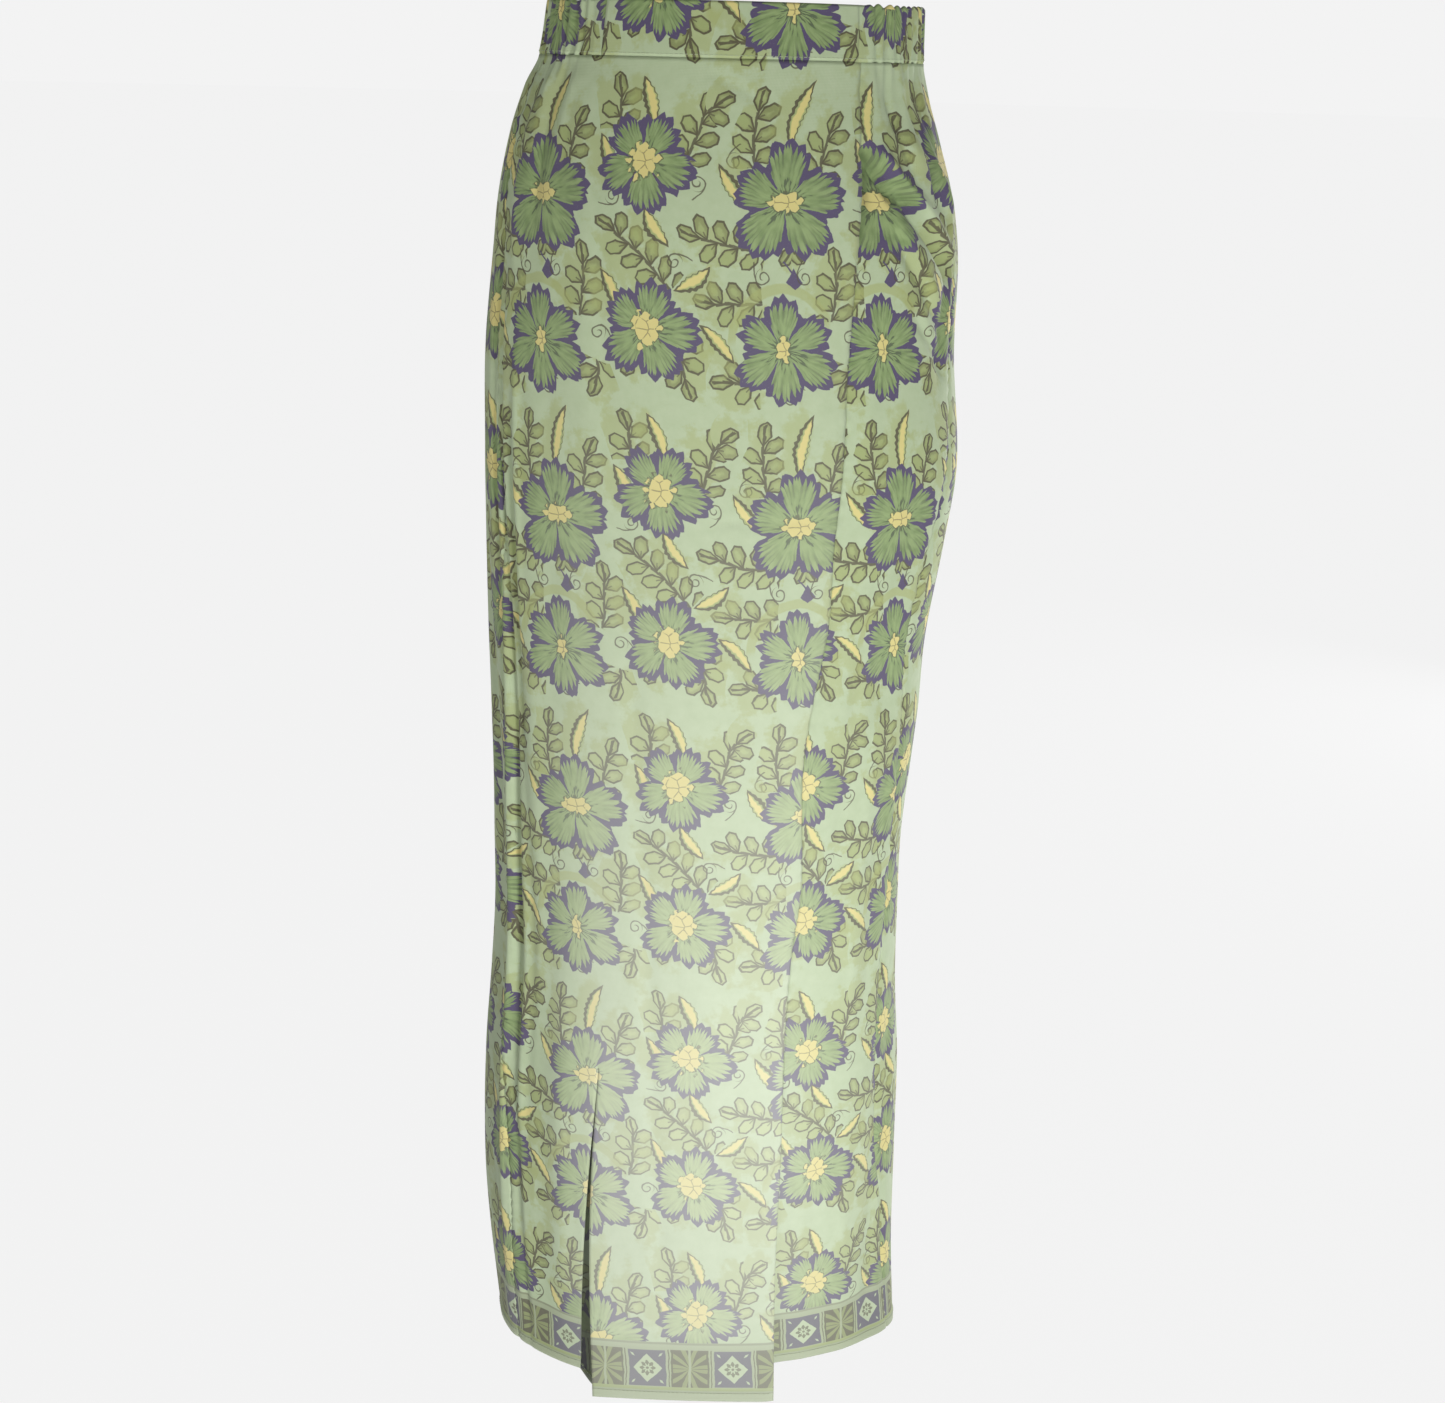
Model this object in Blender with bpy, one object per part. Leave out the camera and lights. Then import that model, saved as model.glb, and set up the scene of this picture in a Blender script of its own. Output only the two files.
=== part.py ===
"""A worn batik sarong skirt: a long fitted tube of cloth under a waistband.

The band is plain in front and gathered by elastic behind. Two slits in the lower front leave a flap
between them, which hangs a little in front of the side panels.

Units are metres and +Z is up. The front faces -Y, and +X is on the right of someone who looks at it.
The origin is the middle of the waistband ring. A drop is measured down from the waist seam.
A turn is an angle round the body in degrees: 0 at the centre front, 90 at the +X side and 180 behind.
"""

import math
from collections import namedtuple

import bmesh
import bpy
from mathutils import Vector

WALL = 0.0015  # cloth of the panels
BAND_WALL = 0.0022  # doubled cloth of the waistband
SEAM_GAP = 0.0003  # kept between two pieces that are sewn edge to edge
BAND_HEIGHT = 0.034
BAND_PROUD = 0.0004  # the band's outer face stands this far outside the panels
SKIRT_LENGTH = 0.951  # waist seam to hem
FLAP_LENGTH = 0.960
LEFT_SLIT_TOP = 0.692
RIGHT_SLIT_TOP = 0.724
SLIT_PARTING = 4.6  # degrees between the two edges of the left slit at the hem
FLAP_PROUD = 0.007  # how far the flap's middle hangs in front of the tube at its hem
FLAP_CURVE = 0.002  # how far the flap's edges lie behind its middle
FLAP_HALF_WIDTH = 0.07
UNDERLAY_WIDTH = 26.0  # degrees
UNDERLAY_SHIFT = 3.0  # degrees from the slit to the strip's middle, on the left
UNDERLAY_LENGTH = 0.966  # at the flap's edge
UNDERLAY_HIDDEN = 0.949  # where its hem has risen out of sight behind the left of the front
UNDERLAY_SLANT = 8.6  # degrees over which it rises
UNDERLAP = 15.0  # degrees that the side front panel runs on under the flap
UNDER_PANEL = 0.0019  # how far in the cloth lies where another panel covers it: its wall and a gap
TUCK_WIDTH = 9.0  # degrees over which the side front panel sinks to go under the flap
TUCK_LENGTH = 0.05  # and the length above the slit over which it does so
BAND_FRONT_LEFT, BAND_FRONT_RIGHT = -39.2, 40.0  # turns where the elastic ends
GATHERS = 66
GATHER_DEPTH = 0.0019
GATHER_UNEVENNESS = 0.2  # share of the depth that comes and goes round the band
COLUMNS_PER_GATHER = 4
RAGGED_TOP = 0.0012  # how far the gathers lift and drop the band's top edge
SOFT_FOLDS = 24  # folds that the elastic would throw round a whole turn of the skirt
SOFT_FOLD_DEPTH = 0.0026
SOFT_FOLD_FADE = 0.075
ELASTIC_EASE = 12.0  # degrees over which the soft folds begin beside the plain front
WAIST_SEAM_Z = -BAND_HEIGHT / 2

Section = namedtuple("Section", "drop left right front back")
SECTIONS = (
    Section(-0.034, 0.1157, 0.1292, 0.094, 0.086),
    Section(0.000, 0.1216, 0.1303, 0.098, 0.090),
    Section(0.020, 0.1302, 0.1333, 0.101, 0.095),
    Section(0.047, 0.1400, 0.1425, 0.105, 0.101),
    Section(0.087, 0.1490, 0.1548, 0.111, 0.111),
    Section(0.125, 0.1533, 0.1607, 0.114, 0.118),
    Section(0.190, 0.1594, 0.1625, 0.117, 0.124),
    Section(0.265, 0.1606, 0.1690, 0.117, 0.122),
    Section(0.320, 0.1595, 0.1633, 0.115, 0.118),
    Section(0.390, 0.1572, 0.1535, 0.113, 0.112),
    Section(0.445, 0.1550, 0.1510, 0.111, 0.108),
    Section(0.540, 0.1530, 0.1432, 0.108, 0.103),
    Section(0.600, 0.1526, 0.1432, 0.107, 0.102),
    Section(0.660, 0.1561, 0.1445, 0.106, 0.102),
    Section(0.725, 0.1612, 0.1492, 0.105, 0.103),
    Section(0.805, 0.1636, 0.1508, 0.104, 0.105),
    Section(0.880, 0.1611, 0.1532, 0.103, 0.107),
    Section(0.951, 0.1546, 0.1580, 0.103, 0.108),
)

# The turn of each seam or crease at a drop.
Lines = namedtuple("Lines", "drop left_side slit crease seam right_side")
LINES = (
    Lines(0.000, -74, -55.0, -36.2, 41.6, 80),
    Lines(0.050, -73, -49.0, -33.0, 38.0, 79),
    Lines(0.115, -70, -44.0, -29.0, 33.6, 76),
    Lines(0.230, -67, -38.5, -24.8, 30.6, 72),
    Lines(0.300, -65, -36.0, -22.8, 29.2, 66),
    Lines(0.365, -67, -34.0, -21.0, 30.2, 62),
    Lines(0.455, -71, -32.0, -18.8, 26.2, 65),
    Lines(0.550, -72, -30.3, -17.6, 28.6, 70),
    Lines(0.600, -70, -29.0, -17.0, 26.2, 67),
    Lines(0.692, -66, -27.3, -13.2, 24.3, 63),
    Lines(0.770, -63, -28.2, -8.6, 23.9, 64),
    Lines(0.840, -61, -28.7, -6.8, 23.2, 69),
    Lines(0.951, -62, -28.8, -6.3, 22.9, 72),
)

# Where the hem hangs, round the body.
Hem = namedtuple("Hem", "turn drop")
HEM = (
    Hem(-90, SKIRT_LENGTH),
    Hem(-10, SKIRT_LENGTH),
    Hem(23, 0.937),
    Hem(50, 0.939),
    Hem(72, 0.946),
    Hem(95, 0.955),
    Hem(150, SKIRT_LENGTH),
)

# Soft troughs and ridges in the cloth. A fold runs from one turn and drop to another.
Fold = namedtuple("Fold", "top_turn top_drop low_turn low_drop half_width height")
FOLDS = (
    Fold(-36, -0.01, -24, 0.25, 0.006, -0.0010),
    Fold(-24, 0.20, -6, 0.97, 0.006, -0.0012),
    Fold(39, 0.055, 72, 0.135, 0.011, -0.0045),
    Fold(52, 0.035, 82, 0.100, 0.016, 0.0030),
    Fold(58, 0.23, 50, 0.45, 0.016, -0.0030),
    Fold(66, 0.66, 59, 0.96, 0.014, -0.0040),
    Fold(-50, 0.52, -46, 0.97, 0.015, -0.0030),
    Fold(-78, 0.30, -74, 0.97, 0.016, -0.0035),
    Fold(-92, 0.22, -96, 0.97, 0.018, 0.0040),
    Fold(108, 0.22, 100, 0.97, 0.018, -0.0040),
    Fold(140, 0.30, 136, 0.97, 0.022, 0.0040),
    Fold(168, 0.26, 172, 0.97, 0.022, -0.0040),
    Fold(-158, 0.32, -150, 0.97, 0.022, 0.0040),
    Fold(-125, 0.26, -128, 0.97, 0.022, -0.0040),
)


def smooth(share):
    """0 to 1, level at both ends."""
    share = min(max(share, 0.0), 1.0)
    return share * share * (3 - 2 * share)


def mix(a, b, share):
    return a + (b - a) * share


def read(table, key, name):
    """The value in column name of a table at key, on a smooth curve through the rows."""
    keys = [row[0] for row in table]
    values = [getattr(row, name) for row in table]
    if key <= keys[0] or key >= keys[-1]:
        return values[0] if key <= keys[0] else values[-1]
    at = max(i for i in range(len(keys) - 1) if keys[i] <= key)

    def slope(i):
        low, high = max(i - 1, 0), min(i + 1, len(keys) - 1)
        return (values[high] - values[low]) / (keys[high] - keys[low])

    span = keys[at + 1] - keys[at]
    share = (key - keys[at]) / span
    steps = values[at + 1] - values[at]
    bend_in = slope(at) * span - steps
    bend_out = steps - slope(at + 1) * span
    curve = share * (1 - share) * (bend_in * (1 - share) + bend_out * share)
    return mix(values[at], values[at + 1], share) + curve


def signed(turn):
    """The same turn from -180 to 180."""
    return (turn + 180) % 360 - 180


def from_behind(turn):
    """The same turn from 0 to 360, so that a piece can run on through the back."""
    return turn % 360


def tube(turn, drop):
    """A point on the plain tube, and the level direction that faces out there."""
    angle = math.radians(turn)
    across, ahead = math.sin(angle), math.cos(angle)
    width = read(SECTIONS, drop, "right" if across > 0 else "left")
    depth = read(SECTIONS, drop, "front" if ahead > 0 else "back")
    outward = Vector((across / width, -ahead / depth, 0)).normalized()
    return Vector((width * across, -depth * ahead, WAIST_SEAM_Z - drop)), outward


def fold_height(fold, turn, drop):
    """How far a fold lifts the cloth at a place. It fades at both its ends."""
    along = (drop - fold.top_drop) / (fold.low_drop - fold.top_drop)
    if not 0 < along < 1:
        return 0.0
    away = signed(turn - mix(fold.top_turn, fold.low_turn, along))
    radius = (read(SECTIONS, drop, "left") + read(SECTIONS, drop, "front")) / 2
    distance = math.radians(away) * radius / fold.half_width
    return fold.height * math.exp(-distance * distance) * smooth(3 * along) * smooth(5 * (1 - along))


def elastic_pull(turn):
    """1 where the elastic gathers the waist, 0 in the plain front."""
    past_left, past_right = BAND_FRONT_LEFT - signed(turn), signed(turn) - BAND_FRONT_RIGHT
    return smooth(max(past_left, past_right) / ELASTIC_EASE)


def relief(turn, drop):
    """How far the worn cloth lies outside the plain tube."""
    waves = SOFT_FOLD_DEPTH * elastic_pull(turn) * smooth(drop / 0.02) * math.exp(-drop / SOFT_FOLD_FADE)
    lifted = waves * math.cos(math.radians(turn) * SOFT_FOLDS)
    return lifted + sum(fold_height(fold, turn, drop) for fold in FOLDS)


def cloth(turn, drop, inset=0.0):
    """A point on the worn cloth and the direction in which its wall faces out."""
    point, outward = tube(turn, drop)
    return point + outward * (relief(turn, drop) - inset), outward


def flap(turn, drop):
    """The same on the flap, which leaves the tube at the slit tops and is nearly flat at the hem."""
    slit_top = mix(LEFT_SLIT_TOP, RIGHT_SLIT_TOP, smooth((turn + 28) / 52))
    share = (drop - slit_top) / (SKIRT_LENGTH - slit_top)
    point, outward = cloth(turn, drop)
    if share <= 0:
        return point, outward
    flat_y = -read(SECTIONS, drop, "front") - FLAP_PROUD * share + FLAP_CURVE * (point.x / FLAP_HALF_WIDTH) ** 2
    point.y = mix(point.y, flat_y, share**1.3)
    point.z -= (FLAP_LENGTH - SKIRT_LENGTH) * share * share
    return point, outward.lerp(Vector((0, -1, 0)), share).normalized()


def sheet(name, columns, rows, place, colour, wall=WALL, holds=None, slit=None):
    """One piece of cloth: a grid of outer points, the same grid a wall further in, and rims between them.

    place(column, row, side) gives an outer point and its outward direction. holds(column, row) says
    whether the quad below and beyond that point is there. slit is the column and row where the grid
    parts, down to its last row, and side is then -1 before the slit and 1 beyond it.
    """
    form = bmesh.new()
    corners = {}

    def corner(column, row, side):
        parted = slit is not None and column == slit[0] and row > slit[1]
        key = (column, row, side if parted else 0)
        if key not in corners:
            point, outward = place(column, row, key[2])
            corners[key] = form.verts.new(point), form.verts.new(point - outward * wall)
        return corners[key]

    quads = []
    for column in range(columns - 1):
        for row in range(rows - 1):
            if holds is None or holds(column, row):
                top = corner(column, row, 1), corner(column + 1, row, -1)
                low = corner(column, row + 1, 1), corner(column + 1, row + 1, -1)
                quads.append((top[0], low[0], low[1], top[1]))
    sides = {(a[0], b[0]) for quad in quads for a, b in zip(quad, quad[1:] + quad[:1])}
    for quad in quads:
        form.faces.new([outer for outer, inner in quad])
        form.faces.new([inner for outer, inner in reversed(quad)])
        for a, b in zip(quad, quad[1:] + quad[:1]):
            if (b[0], a[0]) not in sides:
                form.faces.new((b[0], a[0], a[1], b[1]))
    mesh = bpy.data.meshes.new(name)
    form.to_mesh(mesh)
    form.free()
    mesh.shade_smooth()
    mesh.materials.append(finish(name, colour))
    bpy.context.scene.collection.objects.link(bpy.data.objects.new(name, mesh))


def finish(name, colour):
    material = bpy.data.materials.new(name)
    material.use_nodes = True
    shader = material.node_tree.nodes["Principled BSDF"]
    shader.inputs["Base Color"].default_value = (*colour, 1)
    shader.inputs["Roughness"].default_value = 0.85
    shader.inputs["Metallic"].default_value = 0.0
    return material


GREEN = (0.36, 0.50, 0.33)
PALE_GREEN = (0.44, 0.60, 0.42)
SHADE_GREEN = (0.20, 0.27, 0.14)

# The drops of the grid's rows: close at the waist and hip, wider where the tube is straight.
DROPS = [SEAM_GAP / 2, 0.012, 0.026, 0.042, 0.060, 0.080, 0.102, 0.128, 0.158, 0.192, 0.228, 0.265]
DROPS += [0.300, 0.335, 0.368, 0.402, 0.440, 0.480, 0.520, 0.560, 0.600, 0.645]
LEFT_SLIT_ROW = len(DROPS)
DROPS += [LEFT_SLIT_TOP]
RIGHT_SLIT_ROW = len(DROPS)
DROPS += [RIGHT_SLIT_TOP, 0.765, 0.805, 0.845, 0.885, 0.920, SKIRT_LENGTH]


def hem_drop(turn, row):
    """The drop of a row where the hem isn't level: the rows below the right slit's top take the change."""
    drop = DROPS[row]
    lower = (drop - RIGHT_SLIT_TOP) / (SKIRT_LENGTH - RIGHT_SLIT_TOP)
    return drop + max(lower, 0) * (read(HEM, signed(turn), "drop") - SKIRT_LENGTH)


def side_gap(drop):
    """Half a seam's gap as a turn, in degrees."""
    return math.degrees(SEAM_GAP / 2 / read(SECTIONS, drop, "front"))


def turn_of(column, stretches):
    """The turn of a column. Each stretch of a panel is its first turn, its last turn and its steps."""
    for start, end, steps in stretches:
        if column <= steps:
            return mix(start, end, column / steps)
        column -= steps


def front_panel():
    """From the left side seam to the seam on the right, with the left slit and the flap."""
    before_slit, to_crease, to_seam = 10, 5, 12

    def place(column, row, side):
        drop = DROPS[row]
        left, slit, crease, seam = (read(LINES, drop, n) for n in ("left_side", "slit", "crease", "seam"))
        if column < before_slit or (column == before_slit and side < 0):
            share = max(drop - LEFT_SLIT_TOP, 0) / (SKIRT_LENGTH - LEFT_SLIT_TOP)
            edge = slit - SLIT_PARTING * share**1.6
            return cloth(mix(left + side_gap(drop), edge, column / before_slit), drop)
        stretches = ((slit, crease, to_crease), (crease, seam - side_gap(drop), to_seam))
        return flap(turn_of(column - before_slit, stretches), drop)

    columns = before_slit + to_crease + to_seam + 1
    slit = (before_slit, LEFT_SLIT_ROW)
    sheet("front_panel", columns, len(DROPS), place, GREEN, slit=slit)


def side_front_panel():
    """From the seam on the right to the right side seam, with a strip that runs on under the flap."""
    under, across = 4, 12

    def place(column, row, side):
        drop = DROPS[row]
        seam = read(LINES, drop, "seam") + side_gap(drop)
        end = read(LINES, drop, "right_side") - side_gap(drop)
        turn = turn_of(column, ((seam - UNDERLAP, seam, under), (seam, end, across)))
        beside_seam = 1 - smooth((turn - seam) / TUCK_WIDTH)
        tucked = smooth((drop - RIGHT_SLIT_TOP) / TUCK_LENGTH + 1) * beside_seam
        return cloth(turn, hem_drop(turn, row), UNDER_PANEL * tucked)

    def holds(column, row):
        return column >= under or row >= RIGHT_SLIT_ROW

    sheet("side_front_panel", under + across + 1, len(DROPS), place, PALE_GREEN, holds=holds)


def back_panel(name, first, last):
    """A half of the back, from share first to share last of the way from the right side seam to the left."""
    across = 24

    def place(column, row, side):
        drop = DROPS[row]
        start = read(LINES, drop, "right_side")
        end = from_behind(read(LINES, drop, "left_side"))
        gap = side_gap(drop)
        turn = mix(mix(start, end, first) + gap, mix(start, end, last) - gap, column / across)
        return cloth(turn, hem_drop(turn, row))

    sheet(name, across + 1, len(DROPS), place, GREEN)


def slit_underlay():
    """The strip that backs the left slit, behind both of its edges. Its hem slants down to the flap's edge."""
    across = 6
    rows = [LEFT_SLIT_TOP - 0.02, *DROPS[LEFT_SLIT_ROW:-1], UNDERLAY_LENGTH]

    def place(column, row, side):
        drop = rows[row]
        slit = read(LINES, drop, "slit")
        turn = slit - UNDERLAY_SHIFT + UNDERLAY_WIDTH * (column / across - 0.5)
        if row == len(rows) - 1:
            lowered = smooth((turn - slit + SLIT_PARTING + UNDERLAY_SHIFT) / UNDERLAY_SLANT)
            drop = mix(UNDERLAY_HIDDEN, UNDERLAY_LENGTH, lowered)
        return cloth(turn, drop, UNDER_PANEL)

    sheet("slit_underlay", across + 1, len(rows), place, SHADE_GREEN)


def band_drop(share):
    """The drop of a place on the band, from 0 at the seam to 1 at its top edge."""
    return mix(-SEAM_GAP / 2, -BAND_HEIGHT, share)


def waistband_front():
    across, up = 14, 2

    def place(column, row, side):
        gap = side_gap(0)
        turn = mix(BAND_FRONT_LEFT + gap, BAND_FRONT_RIGHT - gap, column / across)
        point, outward = tube(turn, band_drop(1 - row / up))
        return point + outward * BAND_PROUD, outward

    sheet("waistband_front", across + 1, up + 1, place, GREEN, wall=BAND_WALL)


def waistband_back():
    """The elasticated part: a wave of gathers with a slightly uneven depth."""
    across, up = GATHERS * COLUMNS_PER_GATHER, 2

    def place(column, row, side):
        gap = side_gap(0)
        share = column / across
        turn = mix(BAND_FRONT_RIGHT + gap, from_behind(BAND_FRONT_LEFT) - gap, share)
        point, outward = tube(turn, band_drop(1 - row / up))
        uneven = 1 - GATHER_UNEVENNESS * (1 - math.sin(share * 61))
        ends = smooth(share * 30) * smooth((1 - share) * 30)
        wave = math.sin(2 * math.pi * GATHERS * share)
        point += outward * (BAND_PROUD + GATHER_DEPTH / 2 * uneven * ends * wave)
        if row == 0:
            point.z += RAGGED_TOP * uneven * ends * math.cos(2 * math.pi * GATHERS * share)
        return point, outward

    sheet("waistband_back", across + 1, up + 1, place, GREEN, wall=BAND_WALL)


def main():
    for old in list(bpy.data.objects):
        bpy.data.objects.remove(old)
    waistband_front()
    waistband_back()
    front_panel()
    side_front_panel()
    back_panel("back_panel_right", 0, 0.5)
    back_panel("back_panel_left", 0.5, 1)
    slit_underlay()


main()
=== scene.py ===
# %% [markdown]
# # A batik sarong skirt, as it looks
#
# The real skirt is printed cotton: a long fitted tube under a band that is plain in front and gathered by
# elastic behind. Its solids come with the frame. This lesson makes the visible cloth on their form and prints
# it. Lengths are metres, +Z is up, the front faces -Y and +X is on the right of someone who looks at it.

import math
from collections import namedtuple

import bmesh
import bpy
import numpy as np
from mathutils import Matrix, Vector


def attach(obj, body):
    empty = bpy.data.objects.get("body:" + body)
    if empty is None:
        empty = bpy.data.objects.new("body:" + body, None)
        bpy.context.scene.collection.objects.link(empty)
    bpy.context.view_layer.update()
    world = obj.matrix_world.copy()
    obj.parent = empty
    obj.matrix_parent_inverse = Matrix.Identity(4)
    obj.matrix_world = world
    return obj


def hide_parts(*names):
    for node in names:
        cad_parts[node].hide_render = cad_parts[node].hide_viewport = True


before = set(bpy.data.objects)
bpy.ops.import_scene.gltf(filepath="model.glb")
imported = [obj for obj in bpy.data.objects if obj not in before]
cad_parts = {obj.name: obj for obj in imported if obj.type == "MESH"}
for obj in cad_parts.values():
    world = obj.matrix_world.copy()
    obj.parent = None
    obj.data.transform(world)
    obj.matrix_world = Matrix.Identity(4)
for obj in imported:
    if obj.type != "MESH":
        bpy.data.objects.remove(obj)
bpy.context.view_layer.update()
print("solids:", len(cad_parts))


def put_in_scene(name, data):
    thing = bpy.data.objects.new(name, data)
    bpy.context.scene.collection.objects.link(thing)
    return thing


# %% [markdown]
# ## The camera
#
# The picture was taken with a lens a little longer than normal, level with the waist and tipped down.
# The camera comes first, because the crop of the picture settles how every size looks.

# %% Camera
PICTURE = 1445, 1403  # pixels
FOCAL_PIXELS = 2038
TIP_DOWN = math.radians(17.5)
TURNED = math.radians(1.5)  # the picture is turned a little clockwise

lens = bpy.data.cameras.new("camera")
lens.sensor_width = 36
lens.lens = 36 * FOCAL_PIXELS / PICTURE[0]
camera = put_in_scene("camera", lens)
camera.location = 0.0095, -1.41, -0.017
camera.matrix_world = (
    Matrix.Translation(camera.location)
    @ Matrix.Rotation(math.pi / 2 - TIP_DOWN, 4, "X")
    @ Matrix.Rotation(TURNED, 4, "Z")
)
bpy.context.scene.camera = camera
print("lens %.1f mm" % lens.lens)

# %% [markdown]
# ## Sizes of the skirt
#
# A tailor would note these first: the girth at each height, where the seams and slits run, how the hem
# hangs and where the cloth folds. They are the sizes that the solids were made with.
# A drop is measured down from the waist seam. A turn is an angle round the tube: 0 at the centre front,
# 90 at the +X side and 180 behind.

# %% Sizes
CLOTH = 0.0009  # thickness that shows
BAND_CLOTH = 0.0018
BAND_HEIGHT = 0.034
BAND_PROUD = 0.0004
WAIST_SEAM_Z = -BAND_HEIGHT / 2
SKIRT_LENGTH = 0.951
FLAP_LENGTH = 0.960
LEFT_SLIT_TOP = 0.692
RIGHT_SLIT_TOP = 0.724
SLIT_PARTING = 4.6  # widths in turns are in degrees
FLAP_PROUD = 0.007
FLAP_CURVE = 0.002
FLAP_HALF_WIDTH = 0.07
UNDERLAY_WIDTH = 26.0
UNDERLAY_SHIFT = 3.0
UNDERLAY_LENGTH = 0.966
UNDERLAY_HIDDEN = 0.949
UNDERLAY_SLANT = 8.6
UNDERLAP = 15.0
UNDER_PANEL = 0.0019
TUCK_WIDTH = 9.0
TUCK_LENGTH = 0.05
BAND_FRONT_LEFT, BAND_FRONT_RIGHT = -39.2, 40.0
GATHERS = 66
GATHER_DEPTH = 0.0019
GATHER_UNEVENNESS = 0.2
RAGGED_TOP = 0.0012
SOFT_FOLDS = 24
SOFT_FOLD_DEPTH = 0.0026
SOFT_FOLD_FADE = 0.075
ELASTIC_EASE = 12.0
HEM_FOLD = 0.0075  # height of the turned-up hem
HEM_EDGE = 0.001
HEM_STITCHES = 0.006  # above the hem


def table(kind, rows):
    """A table typed as plain text, one row on each line, as named rows of numbers."""
    return tuple(kind(*map(float, row.split())) for row in rows.strip().splitlines())


Section = namedtuple("Section", "drop left right front back")
SECTIONS = table(Section, """
-0.034 0.1157 0.1292 0.094 0.086
0 0.1216 0.1303 0.098 0.09
0.02 0.1302 0.1333 0.101 0.095
0.047 0.14 0.1425 0.105 0.101
0.087 0.149 0.1548 0.111 0.111
0.125 0.1533 0.1607 0.114 0.118
0.19 0.1594 0.1625 0.117 0.124
0.265 0.1606 0.169 0.117 0.122
0.32 0.1595 0.1633 0.115 0.118
0.39 0.1572 0.1535 0.113 0.112
0.445 0.155 0.151 0.111 0.108
0.54 0.153 0.1432 0.108 0.103
0.6 0.1526 0.1432 0.107 0.102
0.66 0.1561 0.1445 0.106 0.102
0.725 0.1612 0.1492 0.105 0.103
0.805 0.1636 0.1508 0.104 0.105
0.88 0.1611 0.1532 0.103 0.107
0.951 0.1546 0.158 0.103 0.108
""")
Lines = namedtuple("Lines", "drop left_side slit crease seam right_side")
LINES = table(Lines, """
0 -74 -55 -36.2 41.6 80
0.05 -73 -49 -33 38 79
0.115 -70 -44 -29 33.6 76
0.23 -67 -38.5 -24.8 30.6 72
0.3 -65 -36 -22.8 29.2 66
0.365 -67 -34 -21 30.2 62
0.455 -71 -32 -18.8 26.2 65
0.55 -72 -30.3 -17.6 28.6 70
0.6 -70 -29 -17 26.2 67
0.692 -66 -27.3 -13.2 24.3 63
0.77 -63 -28.2 -8.6 23.9 64
0.84 -61 -28.7 -6.8 23.2 69
0.951 -62 -28.8 -6.3 22.9 72
""")
Hem = namedtuple("Hem", "turn drop")
HEM = table(Hem, """
-90 0.951
-10 0.951
23 0.937
50 0.939
72 0.946
95 0.955
150 0.951
""")
Fold = namedtuple("Fold", "top_turn top_drop low_turn low_drop half_width height")
FOLDS = table(Fold, """
-36 -0.01 -24 0.25 0.006 -0.001
-24 0.2 -6 0.97 0.006 -0.0012
39 0.055 72 0.135 0.011 -0.0045
52 0.035 82 0.1 0.016 0.003
58 0.23 50 0.45 0.016 -0.003
66 0.66 59 0.96 0.014 -0.004
-50 0.52 -46 0.97 0.015 -0.003
-78 0.3 -74 0.97 0.016 -0.0035
-92 0.22 -96 0.97 0.018 0.004
108 0.22 100 0.97 0.018 -0.004
140 0.3 136 0.97 0.022 0.004
168 0.26 172 0.97 0.022 -0.004
-158 0.32 -150 0.97 0.022 0.004
-125 0.26 -128 0.97 0.022 -0.004
""")
print("sections:", len(SECTIONS), "folds:", len(FOLDS))

# %% [markdown]
# Worn cotton also has small creases, each of its own length and depth: pulls that start at a seam, soft
# troughs where it drags over the hips, and pressed lines. They are placed one by one here, and similar ones
# go on the sides that the picture hides.

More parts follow.
